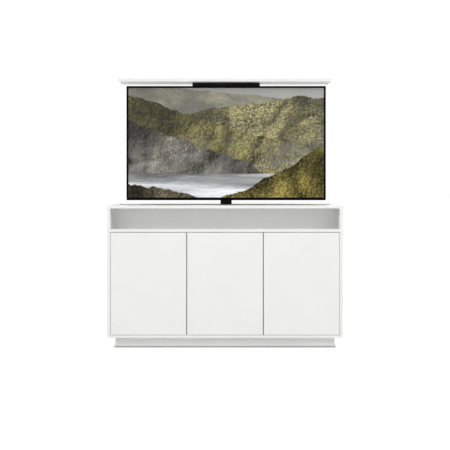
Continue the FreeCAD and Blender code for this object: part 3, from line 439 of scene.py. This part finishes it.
# %% Ridges of the picture
SCREEN_WIDTH = screen_high.x - screen_low.x
SCREEN_HEIGHT = screen_high.z - screen_low.z
ASPECT = SCREEN_WIDTH / SCREEN_HEIGHT
RIDGES = (
    # name, edge at the left, slope to the right, wobble, waves, seed, haze, stretch, relief, three colours
    ("far_fell", 1.02, -0.16, 0.14, 1.3, 4.0, 0.42, (1.0, 1.5), 4.2, "#454431", "#6e6c52", "#938d72"),
    ("moss_fell", 0.66, 0.30, 0.30, 1.5, 11.0, 0.10, (1.0, 1.3), 8.0, "#2b2b1b", "#625f3a", "#a09770"),
    ("bracken_fell", 0.93, -0.56, 0.26, 1.9, 23.0, 0.06, (1.2, 1.0), 8.0, "#2a2b1b", "#5f5d35", "#908558"),
    ("crag", 0.72, -0.66, 0.22, 3.1, 31.0, 0.05, (1.6, 0.8), 8.3, "#262420", "#4e4b44", "#807a6e"),
    ("lake", 0.235, 0.0, 0.006, 1.0, 5.0, 0.0, (0.22, 3.2), 1.0, "#84878a", "#bbbdbf", "#cdcecf"),
    ("near_bank", -0.34, 0.80, 0.26, 2.3, 47.0, 0.0, (1.2, 1.0), 8.6, "#232210", "#625a2b", "#978a50"),
    ("near_stones", 0.15, -0.30, 0.20, 4.2, 59.0, 0.0, (1.6, 1.1), 6.4, "#1c1b16", "#453f31", "#746c58"),
)
CLOUD_COLOURS = ("#83847f", "#b9bab5")
HAZE_COLOUR = "#9b9b96"
EDGE_SOFTNESS = 0.008
GROUND_PATCH = 4.0           # this and the next three: how many fit in the picture's height
GULLIES = 3.2
GROUND_GRAIN = 44.0
CLOUD_SHADOW = 1.7
BEND = 0.16                  # of the noise that bends the others, in pictures' heights
LIGHT_STEP = 0.008           # between the two samples that give the relief
GULLY_RELIEF = 0.22          # of the hummocks' relief
DEEPEST_SHADE = 0.25         # of the full light, on the steepest slope that is turned away from it
print(len(RIDGES), "ridges, picture", round(SCREEN_WIDTH, 3), "by", round(SCREEN_HEIGHT, 3), "m")


# %% A ridge's edge
def ridge_mask(tree, across, height, edge, slope, wobble, waves, seed):
    """1 below the ridge's edge and 0 above it."""
    along = add(tree, "Math", {0: across, 1: waves, 2: seed}, operation="MULTIPLY_ADD")
    outline = add(tree, "TexNoise", {"W": along.outputs[0], "Scale": 1.0, "Detail": 7.0, "Roughness": 0.55},
                  noise_dimensions="1D")
    line = add(tree, "Math", {0: across, 1: slope, 2: edge - wobble / 2}, operation="MULTIPLY_ADD")
    line = add(tree, "Math", {0: outline.outputs["Fac"], 1: wobble, 2: line.outputs[0]},
               operation="MULTIPLY_ADD")
    depth = add(tree, "Math", {0: line.outputs[0], 1: height}, operation="SUBTRACT")
    return add(tree, "MapRange", {"Value": depth.outputs[0], "From Max": EDGE_SOFTNESS})


print("edges soften over", round(EDGE_SOFTNESS * SCREEN_HEIGHT, 4), "m")


# %% A ridge's ground
def bent(tree, place):
    """The place moved about by a slow noise."""
    swirl = add(tree, "TexNoise", {"Vector": place, "Scale": 2.0, "Detail": 3.0, "Roughness": 0.5})
    shift = add(tree, "VectorMath", {0: swirl.outputs["Color"], 1: (0.5, 0.5, 0.5)}, operation="SUBTRACT")
    return add(tree, "VectorMath", {0: shift.outputs[0], 1: (BEND, 0.0, BEND), 2: place},
               operation="MULTIPLY_ADD").outputs[0]


def terrain(tree, place):
    """How high the ground is: soft hummocks, and the gullies cut into them."""
    hummocks = add(tree, "TexNoise", {"Vector": place, "Scale": GROUND_PATCH, "Detail": 9.0,
                                      "Roughness": 0.62})
    gullies = add(tree, "TexNoise", {"Vector": place, "Scale": GULLIES, "Detail": 6.0, "Roughness": 0.5,
                                     "Lacunarity": 2.1, "Offset": 0.9, "Gain": 1.4},
                  noise_type="RIDGED_MULTIFRACTAL")
    return hummocks.outputs["Fac"], gullies.outputs["Fac"]


def ground_colour(tree, place, height, colours):
    """Three colours: dark in the hollows, the middle one on the hummocks, and light in small grains."""
    dark, middle, light = (linear(colour) for colour in colours)
    grain = add(tree, "TexNoise", {"Vector": place, "Scale": GROUND_GRAIN, "Detail": 4.0, "Roughness": 0.7})
    low = add(tree, "MapRange", {"Value": height, "From Min": 0.38, "From Max": 0.54})
    high = add(tree, "MapRange", {"Value": grain.outputs["Fac"], "From Min": 0.44, "From Max": 0.64})
    ground = add(tree, "Mix", {FACTOR: low.outputs[0], FIRST: dark, SECOND: middle}, data_type="RGBA")
    return add(tree, "Mix", {FACTOR: high.outputs[0], FIRST: ground.outputs[RESULT], SECOND: light},
               data_type="RGBA").outputs[RESULT]


def ridge_ground(tree, picture, seed, stretch, relief, colours):
    """The ridge's own surface: colours, dark gullies, cloud shadows, and light from the upper left."""
    here = add(tree, "Mapping", {"Vector": picture, "Location": (seed, 0, seed),
                                 "Scale": (stretch[0], 1.0, stretch[1])}).outputs[0]
    here = bent(tree, here)
    there = add(tree, "VectorMath", {0: here, 1: (-LIGHT_STEP, 0.0, LIGHT_STEP)}, operation="ADD").outputs[0]
    height, gully = terrain(tree, here)
    height_there, gully_there = terrain(tree, there)
    hummock_slope = add(tree, "Math", {0: height, 1: height_there}, operation="SUBTRACT")
    gully_slope = add(tree, "Math", {0: gully_there, 1: gully}, operation="SUBTRACT")
    both = add(tree, "Math", {0: gully_slope.outputs[0], 1: GULLY_RELIEF, 2: hummock_slope.outputs[0]},
               operation="MULTIPLY_ADD")
    light_fall = add(tree, "Math", {0: both.outputs[0], 1: relief, 2: 1.0}, operation="MULTIPLY_ADD")
    light_fall = add(tree, "Math", {0: light_fall.outputs[0], 1: DEEPEST_SHADE}, operation="MAXIMUM")
    shade = add(tree, "MapRange", {"Value": gully, "From Min": 0.4, "From Max": 1.5,
                                   "To Min": 1.22, "To Max": 0.45})
    light_fall = add(tree, "Math", {0: light_fall.outputs[0], 1: shade.outputs[0]}, operation="MULTIPLY")
    cloud = add(tree, "TexNoise", {"Vector": here, "Scale": CLOUD_SHADOW, "Detail": 2.0})
    sun = add(tree, "MapRange", {"Value": cloud.outputs["Fac"], "From Min": 0.38, "From Max": 0.60,
                                 "To Min": 0.4, "To Max": 1.46}, interpolation_type="SMOOTHSTEP")
    light_fall = add(tree, "Math", {0: light_fall.outputs[0], 1: sun.outputs[0]}, operation="MULTIPLY")
    return add(tree, "HueSaturation", {"Color": ground_colour(tree, here, height, colours),
                                       "Value": light_fall.outputs[0]}).outputs[0]


print("gullies are", round(SCREEN_HEIGHT / GULLIES, 3), "m wide,",
      "grains", round(SCREEN_HEIGHT / GROUND_GRAIN, 3), "m")

# %% Mist on the lake
MIST_COLOUR = "#a3a39f"
MIST_FOOT = 0.12             # heights in the picture
MIST_THICKEST = 0.28
MIST_TOP = 0.62
MIST_DENSITY = 0.85


def mist_over(tree, picture, height, painted):
    """A bank of mist that lies on the lake and climbs the slopes behind it."""
    drift = add(tree, "Mapping", {"Vector": picture, "Scale": (1.1, 1.0, 2.2)})
    wisps = add(tree, "TexNoise", {"Vector": drift.outputs[0], "Scale": 2.0, "Detail": 8.0, "Roughness": 0.6,
                                   "Distortion": 0.8})
    band = add(tree, "MapRange", {"Value": height, "From Min": MIST_FOOT, "From Max": MIST_THICKEST},
               interpolation_type="SMOOTHSTEP")
    fade = add(tree, "MapRange", {"Value": height, "From Min": MIST_TOP, "From Max": MIST_THICKEST},
               interpolation_type="SMOOTHSTEP")
    body = add(tree, "Math", {0: band.outputs[0], 1: fade.outputs[0]}, operation="MULTIPLY")
    wisp = add(tree, "MapRange", {"Value": wisps.outputs["Fac"], "From Min": 0.40, "From Max": 0.68})
    amount = add(tree, "Math", {0: body.outputs[0], 1: wisp.outputs[0]}, operation="MULTIPLY")
    amount = add(tree, "Math", {0: amount.outputs[0], 1: MIST_DENSITY}, operation="MULTIPLY")
    return add(tree, "Mix", {FACTOR: amount.outputs[0], FIRST: painted, SECOND: linear(MIST_COLOUR)},
               data_type="RGBA").outputs[RESULT]


print("mist from", MIST_FOOT, "to", MIST_TOP, "of the picture's height")

# %% The panel's black edge
PANEL_EDGE = 10 * MM         # along the panel's sides and top, of which the bezel hides 8 mm
PANEL_LOWER_EDGE = 15 * MM
UNLIT_PANEL = "#040405"


def black_edge(tree, axes, painted):
    """The picture in the middle of the panel, whose edges carry its wiring and stay black."""
    edge, lower_edge = PANEL_EDGE / SCREEN_HEIGHT, PANEL_LOWER_EDGE / SCREEN_HEIGHT
    lit_width = add(tree, "Math", {0: axes.outputs["X"], 1: ASPECT / 2, 2: ASPECT / 2 - edge},
                    operation="COMPARE")
    lit_height = add(tree, "Math", {0: axes.outputs["Z"], 1: (1 + lower_edge - edge) / 2,
                                    2: (1 - lower_edge - edge) / 2}, operation="COMPARE")
    lit = add(tree, "Math", {0: lit_width.outputs[0], 1: lit_height.outputs[0]}, operation="MULTIPLY")
    return add(tree, "Mix", {FACTOR: lit.outputs[0], FIRST: linear(UNLIT_PANEL), SECOND: painted},
               data_type="RGBA").outputs[RESULT]


print("the panel stays black for", PANEL_EDGE, "m, and", PANEL_LOWER_EDGE, "m below")


# %% The whole picture
def landscape(tree):
    """The picture on the panel, painted from the sky forward."""
    place = add(tree, "TexCoord").outputs["Object"]
    picture = add(tree, "Mapping", {
        "Vector": place, "Location": (-screen_low.x / SCREEN_HEIGHT, 0, -screen_low.z / SCREEN_HEIGHT),
        "Scale": (1 / SCREEN_HEIGHT, 0, 1 / SCREEN_HEIGHT)}).outputs[0]
    axes = add(tree, "SeparateXYZ", {"Vector": picture})
    across = add(tree, "Math", {0: axes.outputs["X"], 1: ASPECT}, operation="DIVIDE").outputs[0]
    height = axes.outputs["Z"]
    clouds = add(tree, "TexNoise", {"Vector": picture, "Scale": 2.2, "Detail": 6.0, "Distortion": 0.6})
    grey, pale = (linear(colour) for colour in CLOUD_COLOURS)
    painted = add(tree, "Mix", {FACTOR: clouds.outputs["Fac"], FIRST: grey, SECOND: pale},
                  data_type="RGBA").outputs[RESULT]
    for name, edge, slope, wobble, waves, seed, haze, stretch, relief, *colours in RIDGES:
        mask = ridge_mask(tree, across, height, edge, slope, wobble, waves, seed)
        ground = ridge_ground(tree, picture, seed, stretch, relief, colours)
        hazy = add(tree, "Mix", {FACTOR: haze, FIRST: ground, SECOND: linear(HAZE_COLOUR)}, data_type="RGBA")
        painted = add(tree, "Mix", {FACTOR: mask.outputs[0], FIRST: painted, SECOND: hazy.outputs[RESULT]},
                      data_type="RGBA").outputs[RESULT]
        if name == "lake":
            painted = mist_over(tree, picture, height, painted)
    return black_edge(tree, axes, painted)


screen_picture, tree, output = new_finish("lit_display_behind_matt_glass")
body = add(tree, "BsdfPrincipled", {"Base Color": landscape(tree), "Roughness": 0.35,
                                    "Specular IOR Level": 0.1})
tree.links.new(body.outputs[0], output.inputs["Surface"])
print(screen_picture.name, "has", len(tree.nodes), "nodes")

# %% [markdown]
# ## Finishes on the CAD pieces
# Every CAD piece came in with the name of its finish in its material slot. Each slot now gets the material
# made for it. The television's black slot covers two pieces with different moulds, so the bezel gets the
# polished one.

# %% Finishes on the CAD pieces
FINISHES = {
    "white_lacquer": cabinet_lacquer, "plinth_lacquer": plinth_lacquer, "back_board": back_board_face,
    "raw_board": bare_fibreboard, "nylon": guide_nylon, "bright_steel": bright_zinc,
    "latch_plastic": latch_plastic, "black_steel": black_powder_coat, "cast_gearbox": cast_aluminium,
    "motor_steel": motor_paint, "bronze_nut": nut_bronze, "control_plastic": control_plastic,
    "tv_black": cover_plastic, "tv_glass": screen_picture,
}
for node in nodes.values():
    for slot in node.material_slots:
        slot.material = FINISHES[slot.material.name]
nodes["tv_bezel"].material_slots[0].material = bezel_plastic
print("finished", sum(len(node.material_slots) for node in nodes.values()), "slots")

# %% [markdown]
# ## Pan-head screws
# A row of small screws holds the back board in its rebate, and a few black ones hold the television's
# cover. A pan head is a low dome with a cross recess. One head is modelled: a disc whose top edge is
# bevelled round, with a cross-shaped cutter taken out of it. The copies are then turned about their
# axes by uneven angles, because nobody stops a driver at the same angle twice.

# %% One pan head
HEAD_RADIUS = 3.2 * MM
HEAD_HEIGHT = 1.9 * MM
HEAD_SIDES = 24
HEAD_ROUNDING = 0.8 * HEAD_HEIGHT
ROUNDING_STEPS = 4
RECESS_LENGTH = 3.8 * MM
RECESS_WIDTH = 0.8 * MM
RECESS_DEPTH = 1.1 * MM
RECESS_TAPER = 0.6           # of its length and width, at its bottom
FACING = 0.5                 # a normal with more than this along an axis points that way


def apply_modifiers(piece):
    bpy.context.view_layer.objects.active = piece
    for modifier in list(piece.modifiers):
        bpy.ops.object.modifier_apply(modifier=modifier.name)


def select_only(piece, parts, chosen):
    """Selects the faces or edges for which chosen is true. The piece is in edit mode."""
    bpy.ops.mesh.select_all(action="DESELECT")
    mesh = bmesh.from_edit_mesh(piece.data)
    for part in getattr(mesh, parts):
        if chosen(part):
            part.select = True
    bmesh.update_edit_mesh(piece.data)


def recess_cutter():
    """The cross that the driver fits: two thin bars, narrower at the bottom."""
    bars = []
    for turn in (0, 90):
        bpy.ops.object.select_all(action="DESELECT")
        bpy.ops.mesh.primitive_cube_add(size=1.0, location=(0, 0, HEAD_HEIGHT))
        bar = bpy.context.object
        bar.dimensions = (RECESS_LENGTH, RECESS_WIDTH, 2 * RECESS_DEPTH)
        bar.rotation_euler.z = math.radians(turn)
        bpy.ops.object.transform_apply(location=True, rotation=True, scale=True)
        bpy.ops.object.mode_set(mode="EDIT")
        select_only(bar, "faces", lambda face: face.normal.z < -FACING)
        bpy.ops.transform.resize(value=(RECESS_TAPER, RECESS_TAPER, 1.0))
        bpy.ops.object.mode_set(mode="OBJECT")
        bars.append(bar)
    return bars


def pan_head():
    """A head on the floor plane, its dome upwards."""
    bpy.ops.object.select_all(action="DESELECT")
    bpy.ops.mesh.primitive_cylinder_add(vertices=HEAD_SIDES, radius=HEAD_RADIUS, depth=HEAD_HEIGHT,
                                        location=(0, 0, HEAD_HEIGHT / 2))
    head = bpy.context.object
    bpy.ops.object.transform_apply(location=True, rotation=True, scale=True)
    bpy.ops.object.mode_set(mode="EDIT")
    bpy.ops.mesh.select_mode(type="EDGE")
    select_only(head, "edges", lambda edge: all(corner.co.z > HEAD_HEIGHT / 2 for corner in edge.verts))
    bpy.ops.mesh.bevel(offset=HEAD_ROUNDING, segments=ROUNDING_STEPS, affect="EDGES")
    bpy.ops.object.mode_set(mode="OBJECT")
    bars = recess_cutter()
    for bar in bars:
        cut = head.modifiers.new("recess", "BOOLEAN")
        cut.operation = "DIFFERENCE"
        cut.solver = "EXACT"
        cut.object = bar
    apply_modifiers(head)
    for bar in bars:
        bpy.data.objects.remove(bar)
    return head


pan_head_pattern = pan_head()
print("pan head", len(pan_head_pattern.data.polygons), "faces")

# %% [markdown]
# ## Screws in the back and in the cover
# The back board's screws go into the ledge that it lies on, a few millimetres from its edge, about a hand
# apart. The cover's screws hold it to the frame behind the screen, so they lie in its thin rim. Copies get
# a mesh of their own with their place in it. Those of the back board are then joined into one piece, and
# those of the cover into another.

# %% Copies
def copy_of(pattern, name, place):
    """A copy with a mesh of its own, moved and turned by the matrix."""
    copy = bpy.data.objects.new(name, pattern.data.copy())
    copy.data.transform(place)
    bpy.context.scene.collection.objects.link(copy)
    return copy


def joined(pieces):
    bpy.ops.object.select_all(action="DESELECT")
    for piece in pieces:
        piece.select_set(True)
    bpy.context.view_layer.objects.active = pieces[0]
    bpy.ops.object.join()
    return bpy.context.object


print("each copy of the head has", len(pan_head_pattern.data.vertices), "corners")

# %% Places of the screws
LEDGE_INSET = 4.2 * MM
SCREW_SPACING = 190 * MM
RIM_SETBACK = 33 * MM        # from the cover's raised middle forward to its rim
RIM_INSET = 32 * MM


def even_steps(start, end, spacing):
    """Places from start to end, as near to the spacing as fits."""
    gaps = max(1, round(abs(end - start) / spacing))
    return [start + (end - start) * i / gaps for i in range(gaps + 1)]


def back_board_places():
    low_z, high_z = back_low.z + LEDGE_INSET, back_high.z - LEDGE_INSET
    left, right = back_low.x + LEDGE_INSET, back_high.x - LEDGE_INSET
    for x in even_steps(left, right, SCREW_SPACING):
        yield Vector((x, back_high.y, low_z))
        yield Vector((x, back_high.y, high_z))
    for z in even_steps(low_z, high_z, SCREW_SPACING)[1:-1]:
        yield Vector((left, back_high.y, z))
        yield Vector((right, back_high.y, z))


def cover_places():
    rim_y = cover_high.y - RIM_SETBACK
    left, right = cover_low.x + RIM_INSET, cover_high.x - RIM_INSET
    top = cover_high.z - RIM_INSET
    for x in (left, left / 2, right / 2, right):
        yield Vector((x, rim_y, top))
    for z in even_steps(top, cover_low.z + RIM_INSET, 2 * SCREW_SPACING)[1:]:
        yield Vector((left, rim_y, z))
        yield Vector((right, rim_y, z))


print(len(list(back_board_places())), "screws in the back,", len(list(cover_places())), "in the cover")

# %% Screws in rows
DRIVER_TURN = math.radians(137.5)
SMOOTH_UP_TO = math.radians(35)
OUT_OF_BACK = Matrix.Rotation(math.radians(-90), 4, "X")


def screw_row(name, finish, body, places):
    """One head at each place, joined into one piece that rides on the body."""
    copies = []
    for number, place in enumerate(places):
        turned = OUT_OF_BACK @ Matrix.Rotation(number * DRIVER_TURN, 4, "Z")
        copies.append(copy_of(pan_head_pattern, name, Matrix.Translation(place) @ turned))
    row = joined(copies)
    row.name = name
    row.data.materials.clear()
    row.data.materials.append(finish)
    bpy.ops.object.shade_smooth_by_angle(angle=SMOOTH_UP_TO)
    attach(row, body)
    return row


back_screws = screw_row("back_board_screws", bright_zinc, "cabinet", back_board_places())
cover_screws = screw_row("cover_screws", black_powder_coat, "carriage", cover_places())
bpy.data.objects.remove(pan_head_pattern)
print("screws", [len(row.data.polygons) for row in (back_screws, cover_screws)], "faces")

# %% [markdown]
# ## Sockets of the television
# Leads plug in from behind, in a bay let into the cover. Each hole in the bay's floor shows a socket: a
# thin bright shell with a black tongue inside. The shell is a block whose open end is inset by its wall's
# thickness and extruded inwards, which leaves a box with a floor. One socket is modelled at the origin, with
# its mouth to the back, and the five in the bay are copies.

# %% Socket shells
BAY_FROM_MIDDLE = -359 * MM  # along the cover, from its middle to the middle of the bay
BAY_DEPTH = 14 * MM
BAY_RISE = 99 * MM           # from the cover's bottom edge
SOCKET_PITCH = 32 * MM
SOCKET_COUNT = 5
SHELL_SIZE = Vector((15.0 * MM, 5.0 * MM, 6.2 * MM))
SHELL_WALL = 0.5 * MM
SHELL_REACH = 0.8 * MM       # how far the shell stands out of the bay's floor
TONGUE_SIZE = Vector((10.0 * MM, 3.6 * MM, 1.6 * MM))
TONGUE_TAPER = (0.9, 1.0, 0.7)

cover_middle_x = (cover_low.x + cover_high.x) / 2
bay_middle = Vector((cover_middle_x + BAY_FROM_MIDDLE, cover_high.y - BAY_DEPTH, cover_low.z + BAY_RISE))


def shaped_box(name, size, place, finish):
    """A block at its place, in edit mode, with its rear face selected."""
    bpy.ops.object.select_all(action="DESELECT")
    bpy.ops.mesh.primitive_cube_add(size=1.0, location=place)
    box = bpy.context.object
    box.name = name
    box.dimensions = size
    bpy.ops.object.transform_apply(location=True, rotation=True, scale=True)
    box.data.materials.append(finish)
    bpy.ops.object.mode_set(mode="EDIT")
    select_only(box, "faces", lambda face: face.normal.y > FACING)
    return box


def hollow_out(wall, size):
    """Sinks the selected rear face into a block of this size, and leaves walls and a floor."""
    bpy.ops.mesh.inset(thickness=wall)
    bpy.ops.mesh.extrude_region_move(TRANSFORM_OT_translate={"value": (0, wall - size.y, 0)})


def socket_shell():
    """A thin sleeve with a floor, its mouth to the back."""
    shell = shaped_box("socket_shell", SHELL_SIZE, (0, -SHELL_SIZE.y / 2, 0), bright_zinc)
    hollow_out(SHELL_WALL, SHELL_SIZE)
    bpy.ops.object.mode_set(mode="OBJECT")
    return shell


def socket_tongue():
    """The tongue that stands on the shell's floor, narrower towards the mouth."""
    middle_y = SHELL_WALL - SHELL_SIZE.y + TONGUE_SIZE.y / 2
    tongue = shaped_box("socket_tongue", TONGUE_SIZE, (0, middle_y, 0), guide_nylon)
    bpy.ops.transform.resize(value=TONGUE_TAPER)
    bpy.ops.object.mode_set(mode="OBJECT")
    return tongue


print("middle of the bay", [round(value, 3) for value in bay_middle])


# %% Sockets in their bay
def put_copies(patterns, label, place, body):
    """A copy of each pattern at the place, with the pattern's finish, on its body. The slot name paired with
    each pattern is not used.
    """
    for pattern, slot in patterns:
        piece = copy_of(pattern, f"{pattern.name}_{label}", place)
        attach(piece, body)


socket = ((socket_shell(), "bright_steel"), (socket_tongue(), "nylon"))
for number in range(SOCKET_COUNT):
    along = (number - (SOCKET_COUNT - 1) / 2) * SOCKET_PITCH
    mouth = bay_middle + Vector((along, SHELL_REACH, 0))
    put_copies(socket, number + 1, Matrix.Translation(mouth), "carriage")
for pattern, slot in socket:
    print(pattern.name, "with", len(pattern.data.polygons), "faces,", SOCKET_COUNT, "copies")
    bpy.data.objects.remove(pattern)

# %% [markdown]
# ## Mains inlets
# The television and the lift's control box each take a mains lead. An inlet is a nylon housing in its bay,
# with three flat pins. Two corners of its mouth are filled, so that the lead goes in only one way up. The
# housing is a block whose open end is inset and extruded inwards, and the two upper corners of that hollow
# are bevelled. One inlet is modelled with its mouth to the back. Both are copies of it, the second turned
# to the side.

# %% One mains inlet
INLET_SIZE = Vector((26.6 * MM, 13.0 * MM, 19.6 * MM))
INLET_WALL = 1.5 * MM
INLET_CORNER = 4.5 * MM
PIN_SIZE = Vector((2.0 * MM, 10.0 * MM, 4.0 * MM))
PIN_TIP = 0.7 * MM
PIN_PLACES = ((-7 * MM, -2 * MM), (0.0, 2 * MM), (7 * MM, -2 * MM))
TINY = 0.1 * MM


def is_upper_corner(edge):
    """True for the two edges that run into the hollow along its upper corners."""
    start, end = (corner.co for corner in edge.verts)
    hollow_top = INLET_SIZE.z / 2 - INLET_WALL
    at_top = abs(start.z - hollow_top) < TINY and abs(end.z - hollow_top) < TINY
    return at_top and abs(start.x - end.x) < TINY


def inlet_housing():
    """The housing with its hollow, two of whose corners are cut off."""
    housing = shaped_box("inlet_housing", INLET_SIZE, (0, INLET_SIZE.y / 2, 0), guide_nylon)
    hollow_out(INLET_WALL, INLET_SIZE)
    select_only(housing, "edges", is_upper_corner)
    bpy.ops.mesh.bevel(offset=INLET_CORNER, segments=1, affect="EDGES")
    bpy.ops.object.mode_set(mode="OBJECT")
    return housing


def inlet_pins():
    """Three flat blades that stand in the housing's floor, with chamfered tips."""
    blades = []
    for x, z in PIN_PLACES:
        blades.append(shaped_box("inlet_pins", PIN_SIZE, (x, (INLET_WALL + PIN_SIZE.y) / 2, z), bright_zinc))
        bpy.ops.mesh.bevel(offset=PIN_TIP, segments=1, affect="EDGES")
        bpy.ops.object.mode_set(mode="OBJECT")
    return joined(blades)


inlet = ((inlet_housing(), "nylon"), (inlet_pins(), "bright_steel"))
print("inlet", [(pattern.name, len(pattern.data.polygons)) for pattern, slot in inlet], "faces")

# %% Inlets in their bays
INLET_FROM_MIDDLE = 440.5 * MM    # along the cover, from its middle
CONTROL_BAY_DEPTH = 16 * MM
control_low, control_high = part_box("lift_control_box")
control_middle = (control_low + control_high) / 2
INLETS = (
    # name, body, place of the bay's floor, degrees about the upright
    ("television", "carriage", (cover_middle_x + INLET_FROM_MIDDLE, bay_middle.y, bay_middle.z), 0),
    ("control_box", "cabinet", (control_low.x + CONTROL_BAY_DEPTH, control_middle.y, control_middle.z), 90),
)
for name, body, place, turn in INLETS:
    put_copies(inlet, name, Matrix.Translation(place) @ Matrix.Rotation(math.radians(turn), 4, "Z"), body)
    print(name, "inlet at", [round(value, 3) for value in place])
for pattern, slot in inlet:
    bpy.data.objects.remove(pattern)
